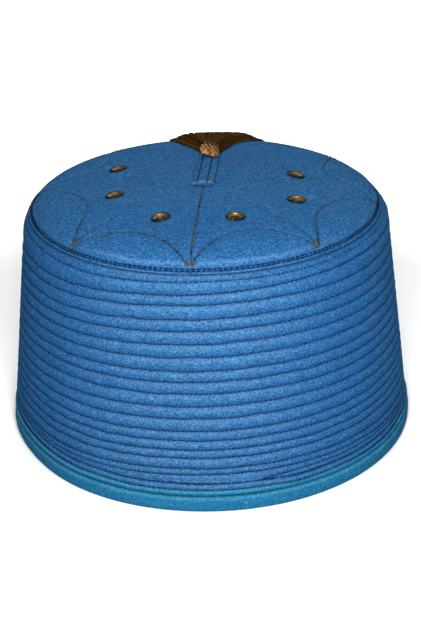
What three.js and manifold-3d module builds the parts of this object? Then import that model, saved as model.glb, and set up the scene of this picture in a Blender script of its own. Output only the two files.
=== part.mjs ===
// A felt skullcap: a quilted felt wall that tapers up to a domed felt crown, bound at the rim,
// with six brass eyelets and a tassel that a felt tab holds to the crown.
// Millimetres, +Z up, front at -Y, origin on the floor under the middle of the rim.
import * as THREE from 'three';
import { mergeVertices } from 'three/addons/utils/BufferGeometryUtils.js';
import Module from 'manifold-3d';

// Whole cap
const HEM_HALF_WIDTH = 95;
const DEPTH_RATIO = 1.03;
const SEAM_HALF_WIDTH = 80.8;
const SEAM_HEIGHT = 104.4;
const TIP_BACK = 0.0125;
const TIP_SIDE = 0.007;
const SHIFT_SIDE = -1.05;
const GAP = 0.3;
const SEGMENTS = 40;

// Crown, its profile given from the middle out as shares of the seam's half width
const CROWN_THICKNESS = 2.4;
const CROWN_EDGE = 3;
const CROWN_STEPS = 12;
const CROWN_ROWS = [
  { share: 0, rise: 11.2 },
  { share: 0.3, rise: 10.7 },
  { share: 0.55, rise: 10 },
  { share: 0.74, rise: 9.1 },
  { share: 0.86, rise: 7.7 },
  { share: 0.93, rise: 5.6 },
  { share: 0.97, rise: 2.9 },
  { share: 1, rise: 0 },
];

// Side wall, its rib crests given from the binding up, and the heights of its stitched grooves
const WALL_THICKNESS = 3.3;
const GROOVE_DEPTH = 0.9;
const RIB_SHOULDER = 0.28;
const WALL_ROWS = [
  { height: 11.4, reach: 93.2 },
  { height: 100, reach: 81.9 },
  { height: 104.25, reach: 80.8 },
];
const GROOVE_HEIGHTS = [
  13.2, 20, 25, 29, 32.8, 37.7, 43.2, 48.5, 53.6, 58.9, 63.6, 70, 75.2, 81.2, 86.1, 91.9, 96.6, 102.3,
];

// Rim binding, folded round the lower edge of the wall
const BINDING_HEIGHT = 11.1;
const BINDING_INNER_HEIGHT = 10;
const BINDING_THICKNESS = 1.5;
const BINDING_ROUND = 1;
const BINDING_LEAN = 0.5;

// Eyelets, each spun about its own axis from the felt's outer face
const EYELET_SEGMENTS = 10;
const EYELET_BORE = 2.1;
const EYELET_BARREL = 2.8;
const EYELET_FLANGE = 4.7;
const EYELET_BACK_FLANGE = 4.2;
const EYELET_LIP = 1.2;
const EYELET_SHEET = 0.6;
const DRILL_LENGTH = 12;
const EYELET_ROWS = [
  { angle: -20.3, reach: 45.2 },
  { angle: 21.1, reach: 45.2 },
  { angle: 64.2, reach: 46.2 },
  { angle: 104.2, reach: 42.4 },
  { angle: -113.6, reach: 45.7 },
  { angle: -66.9, reach: 42.5 },
];

// Tab along the middle of the crown
const TAB_FRONT = -6;
const TAB_BACK = 36.4;
const TAB_HALF_WIDTH = 4.9;
const TAB_THICKNESS = 1.8;
const TAB_CHAMFER = 0.4;
const TAB_STEPS = 9;

// Tassel neck with its wound cord
const WRAP_FRONT = 29;
const WRAP_TURNS = 6;
const WRAP_CORD = 1.15;
const WRAP_HALF_WIDTH = 4.9;
const WRAP_HALF_HEIGHT = 2.6;
const WRAP_WALL = 1.2;
const WRAP_SEGMENTS = 12;
const NECK_SIDES = 12;
const NECK_OVERHANG = 1.4;

// Tassel skirt, given along its way from the neck over the shoulder and down the back
const LOCKS = 7;
const LOCK_SIDES = 6;
const LOCK_OVERLAP = 1.2;
const LOCK_STAGGER = 5;
const LOCK_STAGGER_STEP = 2.4;
const LOCK_TIP = 0.5;
const LOCK_EDGE_THINNING = 0.35;
const SKIRT_START = 34;
const SKIRT_LENGTH = 108;
const SKIRT_LOWEST = 40;
const SKIRT_ROWS = [
  { travel: 0, halfWidth: 2, thickness: 1.8, standoff: 5.2 },
  { travel: 2.5, halfWidth: 3.1, thickness: 2, standoff: 5 },
  { travel: 9, halfWidth: 5.6, thickness: 2.8, standoff: 3.9 },
  { travel: 17, halfWidth: 10.6, thickness: 3, standoff: 2.7 },
  { travel: 24, halfWidth: 15, thickness: 3, standoff: 2.2 },
  { travel: 31, halfWidth: 19.4, thickness: 2.9, standoff: 2 },
  { travel: 36, halfWidth: 21.2, thickness: 2.9, standoff: 2.1 },
  { travel: 40, halfWidth: 22, thickness: 2.9, standoff: 2.3 },
  { travel: 44, halfWidth: 22.5, thickness: 3, standoff: 2.4 },
  { travel: 48, halfWidth: 22.9, thickness: 3, standoff: 2.4 },
  { travel: 52, halfWidth: 23.2, thickness: 3.1, standoff: 2.4 },
  { travel: 57, halfWidth: 23.5, thickness: 3.2, standoff: 2.3 },
  { travel: 74, halfWidth: 24.2, thickness: 3.4, standoff: 2.4 },
  { travel: 92, halfWidth: 25, thickness: 3.2, standoff: 2.4 },
  { travel: 108, halfWidth: 25.6, thickness: 2.6, standoff: 2.2 },
];

const wasm = await Module();
wasm.setup();

const felt = new THREE.MeshStandardMaterial({ color: 0x3a6ca0, roughness: 0.95, metalness: 0 });
const teal = new THREE.MeshStandardMaterial({ color: 0x3082b0, roughness: 0.95, metalness: 0 });
const brass = new THREE.MeshStandardMaterial({ color: 0x7d6038, roughness: 0.35, metalness: 1 });
const goldCord = new THREE.MeshStandardMaterial({ color: 0xc08a4a, roughness: 0.7, metalness: 0 });
const brownYarn = new THREE.MeshStandardMaterial({ color: 0x3c260f, roughness: 0.8, metalness: 0 });

// Value of one column of a table, straight between its rows
function readTable(rows, key, at, column) {
  const found = rows.findIndex((row) => row[key] >= at);
  const next = found < 0 ? rows.length - 1 : Math.max(found, 1);
  const [low, high] = [rows[next - 1], rows[next]];
  return THREE.MathUtils.mapLinear(at, low[key], high[key], low[column], high[column]);
}

// The cap as it stands: oval, and tipped and shifted a little more the higher it is
function settle(point) {
  const share = point.z / SEAM_HEIGHT;
  const x = point.x + share * SHIFT_SIDE;
  const y = point.y * DEPTH_RATIO;
  return new THREE.Vector3(x, y, point.z + share * (TIP_SIDE * x - TIP_BACK * y));
}

function settleGeometry(geometry) {
  const positions = geometry.attributes.position;
  const point = new THREE.Vector3();
  for (let i = 0; i < positions.count; i += 1) {
    point.fromBufferAttribute(positions, i);
    positions.setXYZ(i, ...settle(point).toArray());
  }
  return geometry;
}

// Shared vertices merged and flat triangles dropped, so that the surface is closed
function closeUp(geometry) {
  geometry.deleteAttribute('normal');
  geometry.deleteAttribute('uv');
  const merged = mergeVertices(geometry, 1e-4);
  const corners = merged.index.array;
  const kept = [];
  for (let i = 0; i < corners.length; i += 3) {
    const [a, b, c] = corners.slice(i, i + 3);
    if (a !== b && b !== c && c !== a) kept.push(a, b, c);
  }
  merged.setIndex(kept);
  return merged;
}

function toManifold(geometry) {
  return new wasm.Manifold(new wasm.Mesh({
    numProp: 3,
    vertProperties: Float32Array.from(geometry.attributes.position.array),
    triVerts: Uint32Array.from(geometry.index.array),
  }));
}

function fromManifold(solid) {
  const mesh = solid.getMesh();
  const geometry = new THREE.BufferGeometry();
  geometry.setAttribute('position', new THREE.BufferAttribute(mesh.vertProperties, 3));
  geometry.setIndex(new THREE.BufferAttribute(mesh.triVerts, 1));
  return geometry;
}

// A profile of reach and height turned about +Z, counted from the front towards +X
function spin(profile, segments) {
  const geometry = closeUp(new THREE.LatheGeometry(profile, segments));
  return geometry.rotateX(Math.PI / 2);
}

// Sections joined in order, each a ring of points seen anticlockwise from the far end, with flat ends
function loft(sections) {
  const sides = sections[0].length;
  const corners = [];
  for (let s = 0; s + 1 < sections.length; s += 1) {
    for (let i = 0; i < sides; i += 1) {
      const a = s * sides + i;
      const b = s * sides + (i + 1) % sides;
      corners.push(a, b, b + sides, a, b + sides, a + sides);
    }
  }
  const last = (sections.length - 1) * sides;
  for (let i = 1; i + 1 < sides; i += 1) {
    corners.push(0, i + 1, i, last, last + i, last + i + 1);
  }
  const geometry = new THREE.BufferGeometry().setFromPoints(sections.flat());
  geometry.setIndex(corners);
  return geometry;
}

const point2 = (x, y) => new THREE.Vector2(x, y);

// Crown profile
const crownCurve = new THREE.SplineCurve(
  CROWN_ROWS.map(({ share, rise }) => point2(share * SEAM_HALF_WIDTH, SEAM_HEIGHT + rise)),
);

function crownHeight(reach) {
  let [low, high] = [0, 1];
  while (high - low > 1e-6) {
    const middle = (low + high) / 2;
    if (crownCurve.getPoint(middle).x < reach) low = middle;
    else high = middle;
  }
  return crownCurve.getPoint(low).y;
}

function onCrown(reach, angle) {
  const turn = THREE.MathUtils.degToRad(angle);
  return settle(new THREE.Vector3(reach * Math.sin(turn), -reach * Math.cos(turn), crownHeight(reach)));
}

// Place and direction of an eyelet, square to the felt
function eyeletSeat({ angle, reach }) {
  const position = onCrown(reach, angle);
  const outward = onCrown(reach + 1, angle).sub(onCrown(reach - 1, angle));
  const around = onCrown(reach, angle + 1).sub(onCrown(reach, angle - 1));
  const normal = outward.cross(around).normalize();
  const turn = new THREE.Quaternion().setFromUnitVectors(new THREE.Vector3(0, 0, 1), normal);
  return { position, turn };
}

function crownGeometry() {
  const seamFace = SEAM_HEIGHT + GAP / 2;
  const outer = [];
  const inner = [];
  for (let i = 0; i <= CROWN_STEPS; i += 1) {
    const point = crownCurve.getPoint(i / CROWN_STEPS);
    const tangent = crownCurve.getTangent(i / CROWN_STEPS);
    const under = point2(tangent.y, -tangent.x).multiplyScalar(CROWN_THICKNESS).add(point);
    outer.unshift(point2(point.x, Math.max(point.y, seamFace)));
    if (i % 2 === 0 && under.y > seamFace) inner.push(i === 0 ? point2(0, under.y) : under);
  }
  const edge = point2(SEAM_HALF_WIDTH - CROWN_EDGE, seamFace);
  const shell = settleGeometry(spin([...inner, edge, ...outer], SEGMENTS));
  const holes = EYELET_ROWS.map((row) => {
    const { position, turn } = eyeletSeat(row);
    const radius = EYELET_BARREL + GAP;
    const drill = new THREE.CylinderGeometry(radius, radius, DRILL_LENGTH, EYELET_SEGMENTS);
    const placed = closeUp(drill).rotateX(Math.PI / 2).applyQuaternion(turn);
    return toManifold(placed.translate(...position.toArray()));
  });
  return fromManifold(holes.reduce((solid, hole) => solid.subtract(hole), toManifold(shell)));
}

// Side wall
const wallCrest = (height) => readTable(WALL_ROWS, 'height', height, 'reach');

function wallGeometry() {
  const foot = BINDING_THICKNESS + GAP;
  const top = SEAM_HEIGHT - GAP / 2;
  const { height: start, reach: startReach } = WALL_ROWS[0];
  const bend = WALL_ROWS[1].height;
  const outer = [point2(startReach, foot), point2(startReach, start)];
  GROOVE_HEIGHTS.forEach((height, i) => {
    outer.push(point2(wallCrest(height) - GROOVE_DEPTH, height));
    const pitch = GROOVE_HEIGHTS[i + 1] - height;
    if (Number.isNaN(pitch)) return;
    for (const share of [RIB_SHOULDER, 1 - RIB_SHOULDER]) {
      const crest = height + share * pitch;
      outer.push(point2(wallCrest(crest), crest));
    }
  });
  const inner = [
    point2(SEAM_HALF_WIDTH - WALL_THICKNESS, top),
    point2(wallCrest(bend) - WALL_THICKNESS, bend),
    point2(startReach - WALL_THICKNESS, start),
    point2(startReach - WALL_THICKNESS, foot),
  ];
  const profile = [...outer, point2(SEAM_HALF_WIDTH, top), ...inner, outer[0]];
  return settleGeometry(spin(profile, SEGMENTS));
}

// Rim binding, a channel open upward with the wall standing in it
function bindingGeometry() {
  const out = HEM_HALF_WIDTH;
  const outTop = HEM_HALF_WIDTH - BINDING_LEAN;
  const slotOut = WALL_ROWS[0].reach + GAP;
  const slotIn = WALL_ROWS[0].reach - WALL_THICKNESS - GAP;
  const inside = slotIn - BINDING_THICKNESS;
  const corner = BINDING_ROUND * (1 - Math.SQRT1_2);
  const profile = [
    point2(inside + BINDING_ROUND, 0),
    point2(out - BINDING_ROUND, 0),
    point2(out - corner, corner),
    point2(out, BINDING_ROUND),
    point2(outTop, BINDING_HEIGHT - BINDING_ROUND),
    point2(outTop - corner, BINDING_HEIGHT - corner),
    point2(slotOut, BINDING_HEIGHT),
    point2(slotOut, BINDING_THICKNESS),
    point2(slotIn, BINDING_THICKNESS),
    point2(slotIn, BINDING_INNER_HEIGHT),
    point2(inside, BINDING_INNER_HEIGHT),
    point2(inside, BINDING_ROUND),
    point2(inside + corner, corner),
    point2(inside + BINDING_ROUND, 0),
  ];
  return settleGeometry(spin(profile, SEGMENTS));
}

// Eyelet, a spool that holds the felt between its two flanges
function eyeletGeometry() {
  const seat = GAP;
  const back = -CROWN_THICKNESS - GAP;
  const crest = (EYELET_BORE + EYELET_FLANGE) / 2;
  const profile = [
    point2(EYELET_BORE, back - EYELET_SHEET),
    point2(EYELET_BACK_FLANGE, back - EYELET_SHEET),
    point2(EYELET_BACK_FLANGE, back),
    point2(EYELET_BARREL, back),
    point2(EYELET_BARREL, seat),
    point2(EYELET_FLANGE, seat),
    point2((crest + EYELET_FLANGE) / 2, EYELET_LIP - EYELET_SHEET / 3),
    point2(crest, EYELET_LIP),
    point2((crest + EYELET_BORE) / 2, EYELET_LIP - EYELET_SHEET / 4),
    point2(EYELET_BORE, seat),
    point2(EYELET_BORE, back - EYELET_SHEET),
  ];
  return spin(profile, EYELET_SEGMENTS);
}

// Tab, a strip with eased edges that follows the crown from front to back
function tabGeometry() {
  const low = GAP;
  const high = GAP + TAB_THICKNESS;
  const eased = TAB_HALF_WIDTH - TAB_CHAMFER;
  const section = [
    [-TAB_HALF_WIDTH, low],
    [-TAB_HALF_WIDTH, high - TAB_CHAMFER],
    [-eased, high],
    [eased, high],
    [TAB_HALF_WIDTH, high - TAB_CHAMFER],
    [TAB_HALF_WIDTH, low],
  ];
  const sections = [];
  for (let i = 0; i <= TAB_STEPS; i += 1) {
    const y = THREE.MathUtils.lerp(TAB_FRONT, TAB_BACK, i / TAB_STEPS);
    sections.push(section.map(([x, lift]) => (
      settle(new THREE.Vector3(x, y, crownHeight(Math.hypot(x, y)) + lift))
    )));
  }
  return loft(sections);
}

// Wound cord, a flattened ring with one bulge for each turn, its axis along the tassel
const wrapLength = WRAP_TURNS * WRAP_CORD;
const wrapFlat = WRAP_HALF_HEIGHT / WRAP_HALF_WIDTH;
const neckRise = crownHeight(WRAP_FRONT) + TAB_THICKNESS + 2 * GAP + WRAP_HALF_HEIGHT;

function wrapGeometry() {
  const valley = WRAP_HALF_WIDTH - WRAP_CORD / 3;
  const bore = WRAP_HALF_WIDTH - WRAP_WALL;
  const profile = [point2(bore, 0), point2(valley, 0)];
  for (let turn = 0; turn < WRAP_TURNS; turn += 1) {
    for (const share of [0.25, 0.75]) {
      profile.push(point2(WRAP_HALF_WIDTH, (turn + share) * WRAP_CORD));
    }
    profile.push(point2(valley, (turn + 1) * WRAP_CORD));
  }
  profile.push(point2(bore, wrapLength), point2(bore, 0));
  const ring = closeUp(new THREE.LatheGeometry(profile, WRAP_SEGMENTS));
  return ring.scale(1, 1, wrapFlat);
}

// Oval section across the tassel's way, seen from its far end
function oval(sides, centre, across, up) {
  const ring = [];
  for (let i = 0; i < sides; i += 1) {
    const turn = (2 * Math.PI * (i + 0.5)) / sides;
    const point = centre.clone().addScaledVector(across, -Math.cos(turn));
    ring.push(settle(point.addScaledVector(up, Math.sin(turn))));
  }
  return ring;
}

function neckGeometry() {
  const halfWidth = WRAP_HALF_WIDTH - WRAP_WALL - GAP;
  const halfHeight = (WRAP_HALF_WIDTH - WRAP_WALL) * wrapFlat - GAP;
  const rows = [
    { y: WRAP_FRONT - NECK_OVERHANG / 2, share: 0.6 },
    { y: WRAP_FRONT - NECK_OVERHANG / 4, share: 0.95 },
    { y: WRAP_FRONT + wrapLength + NECK_OVERHANG / 4, share: 0.95 },
    { y: WRAP_FRONT + wrapLength + NECK_OVERHANG, share: 0.8 },
  ];
  return loft(rows.map(({ y, share }) => oval(
    NECK_SIDES,
    new THREE.Vector3(0, y, neckRise),
    new THREE.Vector3(halfWidth * share, 0, 0),
    new THREE.Vector3(0, 0, halfHeight * share),
  )));
}

// Outline of crown and wall from the neck over the shoulder and down the back
function backCurve() {
  const overCrown = crownCurve.getPoints(4 * CROWN_STEPS).filter(({ x }) => x > SKIRT_START);
  const downWall = GROOVE_HEIGHTS.filter((height) => height > SKIRT_LOWEST && height < WALL_ROWS[1].height);
  return new THREE.SplineCurve([
    point2(SKIRT_START, crownHeight(SKIRT_START)),
    ...overCrown,
    ...downWall.reverse().map((height) => point2(wallCrest(height), height)),
  ]);
}

// One lock, thinner the further it is from the middle of the skirt
function lockGeometry(curve, curveLength, index) {
  const side = (2 * (index + 0.5)) / LOCKS - 1;
  const bulk = 1 - LOCK_EDGE_THINNING * side ** 2;
  const reached = SKIRT_LENGTH - LOCK_STAGGER * Math.abs(Math.sin(LOCK_STAGGER_STEP * index + 1));
  const sections = SKIRT_ROWS.map(({ travel, halfWidth, thickness, standoff }, i) => {
    const along = Math.min(travel, reached) / curveLength;
    const base = curve.getPointAt(along);
    const tangent = curve.getTangentAt(along);
    const lift = standoff - (1 - bulk) * thickness / 2;
    const reach = base.x - tangent.y * lift;
    const turn = Math.asin((side * halfWidth) / reach);
    const radial = new THREE.Vector3(Math.sin(turn), Math.cos(turn), 0);
    const centre = radial.clone().multiplyScalar(reach).setZ(base.y + tangent.x * lift);
    const size = i === SKIRT_ROWS.length - 1 ? LOCK_TIP : 1;
    const across = new THREE.Vector3(Math.cos(turn), -Math.sin(turn), 0);
    across.multiplyScalar((size * LOCK_OVERLAP * halfWidth) / LOCKS);
    const up = radial.multiplyScalar(-tangent.y).setZ(tangent.x);
    up.multiplyScalar((size * bulk * thickness) / 2);
    return oval(LOCK_SIDES, centre, across, up);
  });
  return loft(sections);
}

function skirtGeometry() {
  const curve = backCurve();
  const curveLength = curve.getLength();
  let solid = toManifold(neckGeometry());
  for (let index = 0; index < LOCKS; index += 1) {
    solid = solid.add(toManifold(lockGeometry(curve, curveLength, index)));
  }
  return fromManifold(solid);
}

function piece(name, geometry, material) {
  geometry.computeVertexNormals();
  const mesh = new THREE.Mesh(geometry, material);
  mesh.name = name;
  return mesh;
}

const cap = new THREE.Group();
cap.add(piece('crown', crownGeometry(), felt));
cap.add(piece('side_wall', wallGeometry(), felt));
cap.add(piece('rim_binding', bindingGeometry(), teal));

EYELET_ROWS.forEach((row, i) => {
  const eyelet = piece(`eyelet_${i + 1}`, eyeletGeometry(), brass);
  const { position, turn } = eyeletSeat(row);
  eyelet.position.copy(position);
  eyelet.quaternion.copy(turn);
  cap.add(eyelet);
});

cap.add(piece('tassel_tab', tabGeometry(), felt));

const wrap = piece('tassel_wrap', wrapGeometry(), goldCord);
wrap.position.copy(settle(new THREE.Vector3(0, WRAP_FRONT, neckRise)));
cap.add(wrap);

cap.add(piece('tassel_skirt', skirtGeometry(), brownYarn));

export default cap;
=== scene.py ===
# A felt skullcap: quilted wall in a stitched spiral, domed crown with petal stitching, bound rim,
# brass eyelets and a tassel. Sizes are in millimetres in the part's own frame, and become metres
# where a mesh is made. Angles are in degrees from the front (-Y) towards +X.
import math

import bpy
import numpy as np
from mathutils import Matrix, Vector
from mathutils.geometry import delaunay_2d_cdt
from mathutils.kdtree import KDTree


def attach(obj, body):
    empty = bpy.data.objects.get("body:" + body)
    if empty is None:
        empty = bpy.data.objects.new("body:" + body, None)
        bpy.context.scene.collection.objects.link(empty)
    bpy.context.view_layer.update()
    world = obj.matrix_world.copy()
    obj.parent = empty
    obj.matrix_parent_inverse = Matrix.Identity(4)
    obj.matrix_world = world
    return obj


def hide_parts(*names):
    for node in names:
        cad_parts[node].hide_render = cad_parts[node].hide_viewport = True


MM = 0.001
TINY = 1e-12
UP = np.array([0.0, 0, 1])
SEED = 11

# Whole cap
DEPTH_RATIO = 1.03
SEAM_REACH = 80.8
SEAM_HEIGHT = 104.4
TIP_BACK = 0.0125
TIP_SIDE = 0.007
SHIFT_SIDE = -1.05
CURVE_POINTS = 900
WAVE_WEIGHTS = (0.4, 1)
TUBE_NORMAL = (0.31, 0.2, 0.93)

# Crown profile from the middle out: share of the seam's reach, rise over the seam
CROWN_ROWS = [
    (0, 11.2), (0.3, 10.7), (0.55, 10), (0.74, 9.1), (0.86, 7.7), (0.93, 5.6), (0.97, 2.9), (1, 0),
]
# Rolled edge from the shoulder's end in to the face of the seam: reach, height
CROWN_LIP = [(80.65, 105), (80.5, 104.72), (80, 104.55), (77.6, 104.55)]
CROWN_THICKNESS = 2.4
CROWN_SWELL = 0.28
CROWN_SWELL_REACHES = ((0, 20), (60, 74.6))
SHOULDER_REACH = 80.45
SHOULDER_ROWS = 26
SHOULDER_SWELL = 0.25
SHOULDER_SWELL_ROWS = ((0, 8), (14, 22))

# Crown mesh: a sheet of triangles, finer at sewn lines and eyelets, inside rows over the shoulder
CROWN_COLUMNS = 720
SHEET_REACH = 74.6
SHEET_SPACING = 1.35
SHEET_MARGIN = 0.6
SHEET_GAP = 0.75
SHEET_WELD = 1e-7
SEWN_OFFSETS = (-1.1, -0.55, 0, 0.55, 1.1)
SEWN_STEP = 0.75
SEWN_MARGIN = 0.8
SEWN_GAP = 0.3
COLLAR_RADII = (3.7, 4.5, 5.2, 6, 7)
COLLAR_SIDES = 36
COLLAR_GAP = 0.5
LINE_STEP = 0.3
UNDER_SPACING = 5
UNDER_REACH = 74
UNDER_GAP = 2

# Petals of the crown: start angle, end angle, reach of the apex, sharpness of the bend, share of
# dark stitches at the start and end, fading of the thread at the start and end
PETALS = [
    (0.3, 42, 57.8, 2.45, 0.75, 0.1, 0.05, 0.75),
    (42.7, 86, 59.7, 2.3, 0.85, 0.7, 0.05, 0.85),
    (86, 129, 57.7, 2.2, 0.9, 0.9, 0.97, 0.25),
    (129, 173, 58.5, 2.3, 0.7, 0.7, 0.97, 0.97),
    (-173, -138, 58.5, 2.3, 0.7, 0.7, 0.97, 0.97),
    (-138, -94, 57.5, 2.2, 0.9, 0.7, 0.8, 0.97),
    (-94, -42, 55.4, 2.1, 0.8, 0.7, 0.75, 0.1),
    (-42, -1.2, 60.2, 2.1, 0.1, 0.8, 0.4, 0),
]
PETAL_STEPS = 161
CUSP_REACH = 77.6
# Straight lines to the middle: angle, inner reach, dark share and fading at the outer and inner end
RADIALS = [(0, 7, 0.6, 0.6, 0, 0.1), (42, 26, 0.8, 0.8, 0.45, 0.9), (-42, 56, 0.5, 0.5, 0.5, 0.95)]
RADIAL_STEPS = 140
# Knots where lines meet at the crown's edge: angle, reach of the outer end, length, lean
KNOTS = [
    (-0.7, 77.9, 1.6, -0.3), (0.75, 77.9, 2.4, 0.15), (41.3, 77.8, 1.9, -0.2),
    (42.5, 77.7, 2.1, 0.25), (-42.4, 77.9, 2.1, -0.3), (-41.75, 77.8, 2.4, 0.2),
]
# What sewing and eyelets do to the crown: depth and spread of each dent, and the painted shade along the
# sewn lines
LINE_DEPTH = 0.42
LINE_WIDTH = 0.95
LINE_SHADE = 0.6
LINE_SHADE_WIDTH = 0.42
CUSP_DENT = 0.45
CUSP_SPREAD = 3.5
EYELET_DENT = 0.15
EYELET_DENT_SPREAD = 1.5
EYELET_LEAN_SPREAD = 4
TOPSTITCH_REACHES = (79, 79.55)
TOPSTITCHES = 224
TOPSTITCH_DEPTH = 0.42
TOPSTITCH_WIDTH = 0.42
TOPSTITCH_SHADE = 0.3
TOPSTITCH_PUCKER = 0.25
# Shade in the seam, from the first height down to the second, and more of it: angle, spread, amount
SEAM_SHADE = 0.45
SEAM_SHADES = [(-52, 32, 0.4)]
SEAM_SHADE_HEIGHTS = (105.3, 104.8)
# Painted highlight round the crown's edge: reach, width, amount
CROWN_HIGHLIGHTS = [(77.3, 0.7, 0.3), (80.25, 0.15, 0.35)]
CROWN_HIGHLIGHT_LOWEST = 104.7
CROWN_HIGHLIGHT_SIDES = (15, 55)
CROWN_HIGHLIGHT_LOST = 0.85
# Deeper blue towards the crown's front
CROWN_DEEP_TINT = 0.6
CROWN_DEEP_TINT_FRONT = (10, 50)

# Wall: crest reach at three heights
WALL_HEIGHTS = (11.4, 100, 104.25)
WALL_REACHES = (93.2, 81.9, 80.8)
WALL_THICKNESS = 3.3
WALL_COLUMNS = 640
INNER_HEIGHTS = np.array([104.25, 100, 60, 11.4, 1.8])[:, None]
# Heights behind the binding, then depths under the hem row, how far those are set in, and their painted
# highlight
FOOT_HEIGHTS = (1.8, 5, 9)
STRIP_DEPTHS = (2.3, 1.7, 1.1, 0.6)
STRIP_SET_IN = (0, 0, 0, 0.1, -0.15, -0.3, -0.1)
STRIP_HIGHLIGHT = (0, 0, 0, 0, 0.1, 0.15, 0.1)
# Fullness of the soft wall at its right and left, at two heights, and how it tucks in at the seam
FULL_HEIGHTS = (20, 100)
FULL_RIGHT = (0.5, 2.1)
FULL_LEFT = (0.8, 1.1)
FULL_START = (11, 19)
FULL_END = (100, 104.2)
FULL_TUCK = 0.55
WALL_SWELL = 0.35
WALL_SWELL_HEIGHTS = ((11, 24), (92, 104))
WALL_RIPPLE = 0.1
WALL_RIPPLE_START = (11, 16)

# Ribs between the rows: points across a rib as shares of its rise, its crest, and its roundness
RIB_SHARES = (0, 0.1, 0.32, 0.55, 0.73, 0.86, 0.95)
RIB_CREST = 0.68
RIB_ROUND = 0.9
RIB_FULL = 5
RIB_LEAST = 0.4
RIB_UNDER_BEND = 1.7
RIB_OVER_BEND = 1.6
GROOVE_DEPTH = 0.6
GROOVE_WIDTH = 0.55
GROOVE_BEND = 1.25
SIDE_RELIEF = 0.4
SIDE_RELIEF_ANGLES = (30, 70)
# Painted shade of grooves and rib undersides, and painted highlight on rib tops, at the front and at the
# sides, which lie beyond these angles
SHADE_ANGLES = (10, 50)
GROOVE_SHADE = (0.46, 0.23)
GROOVE_SHADE_BEND = 1.5
UNDERSIDE_SHADE = (0.2, 0.12)
UNDERSIDE_SHARES = (0.1, 0.6)
RIB_HIGHLIGHT = (0.2, 0.06)
RIB_HIGHLIGHT_SHARE = 0.86
RIB_HIGHLIGHT_WIDTH = 0.18
# Painted shade deepening the wall's sides, fading out towards the back
WALL_SIDE_SHADE = 0.9
WALL_SIDE_SHADE_ANGLES = ((5, 48), (50, 105))

# Stitched spiral of the wall: height of each turn where it passes the front
TURN_HEIGHTS = [
    13.6, 16.9, 19.5, 24.2, 27.9, 32.1, 36.3, 41.9, 47.3, 52.9, 58.1, 62.9, 68.9, 74.6, 80.3,
    85.3, 91.5, 95.9,
]
TURNS = len(TURN_HEIGHTS)
LAST_START = 360 * (TURNS - 1)
SAG_HEIGHTS = (13, 18, 26, 33, 47, 77, 96)
SAG_AMOUNTS = (0, 1.6, 1, 1, 2.1, 2.9, 2.6)
SAG_PEAK_ANGLE = 10
SAG_SECOND = 0.55
SPIRAL_WAVER = 0.14
SPIRAL_START = 15.7
SPIRAL_END = 165
SPIRAL_DEEPENS = 5
SPIRAL_FADES = 6
# First and last turn: angle, height
FIRST_TURN = [
    (15.7, 13.1), (30, 14.4), (45, 14.3), (180, 14.5), (315, 14.8), (340, 15.9), (360, 16.9),
]
LAST_TURN = [
    (0, 95.9), (19, 97.2), (34, 97.9), (45, 98.2), (56, 98.7), (67, 98.9), (100, 99), (165, 100.6),
]
# Where the mesh has a row before the spiral's start or after its end: angle from there, share
ROW_BEFORE = ((0, 60), (0.07, 0.5))
ROW_AFTER = ((0, 15), (0.06, 0.3))
ROW_GAP = 0.3
# How far the rows ride up at the sides: angle, then the rise at each of the heights
RISE_HEIGHTS = (15, 26, 60, 88)
SIDE_RISE = [
    (-180, 2.2, 0.5, 0, 0), (-140, 2, 0.4, 0, 0), (-75, 0, 0.4, 2.3, 1.6), (-60, 0, 0.2, 2.2, 1.4),
    (-48, 0, -0.3, 2, 0.4), (-39, 0, -0.1, 1.3, 0.2), (-27, 0, -0.4, 0.8, 0), (-10, 0, 0, 0, 0),
    (6, 0, 0, 0, 0), (19, 0, 0.3, 0.45, 0.65), (34, 0, 0.2, 0.4, 0.9), (45, 0, 0.4, 0.6, 1.2),
    (56, 0, 0.8, 1, 1.75), (67, 0, 1.5, 1.9, 2.7), (80, 0, 1.6, 2.2, 2.9), (140, 2, 0.4, 0, 0),
    (180, 2.2, 0.5, 0, 0),
]
# Row under the seam: angle, height
TOP_ROW = [
    (-180, 101), (-75, 101.5), (-60, 101.3), (-48, 100.8), (-32, 100.4), (-12, 101), (5, 101.7),
    (34, 101.95), (45, 102.2), (56, 102.5), (75, 102.7), (180, 101),
]
TOP_ROW_DEPTH = 0.65
SEAM_DEPTH = 1.3

# Hem: its row drops where the spiral has left it, and so does the binding's lip
HEM_HEIGHT = 13
HEM_DROP = 0.9
HEM_DROP_ANGLES = ((15.7, 27.7), (110, 165))
HEM_WAVER = 0.12
LIP_HEIGHT = 10.4
LIP_DROP = 0.7
LIP_WAVER = 0.18
LIP_LOWERED = 0.8
LIP_START = (6, 10.5)
LIP_LOWERED_START = (8, 10.5)
# Where the soft rim is pushed in: angle, spread, depth
RIM_DENTS = [(-58, 16, 1)]
RIM_DENT_END = (20, 60)

# Folded strip of the rim, from its outer top edge down, under and up inside: reach, height
BINDING_PROFILE = [
    (93.25, 9), (93.3, 10.6), (93.5, 11), (93.85, 11.18), (94.2, 11.1), (94.45, 10.8), (94.55, 10.3),
    (94.6, 9.6), (94.55, 8.9), (94.35, 8.4), (94.02, 8.05), (93.95, 7.85), (94.05, 7.6), (94.4, 7.2),
    (94.72, 6.6), (94.9, 5.6), (95, 4.4), (95.02, 3.2), (94.95, 2.1), (94.7, 1.1), (94.2, 0.4),
    (93.4, 0.05), (92.4, 0), (91, 0), (89.7, 0.02), (88.8, 0.4), (88.3, 1.1), (88.1, 2.2), (88.1, 6),
    (88.15, 9.3), (88.5, 9.9), (89.1, 10), (89.5, 9.6), (89.6, 8.5), (89.6, 1.55), (93.3, 1.55),
]
BINDING_COLUMNS = 720
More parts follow.
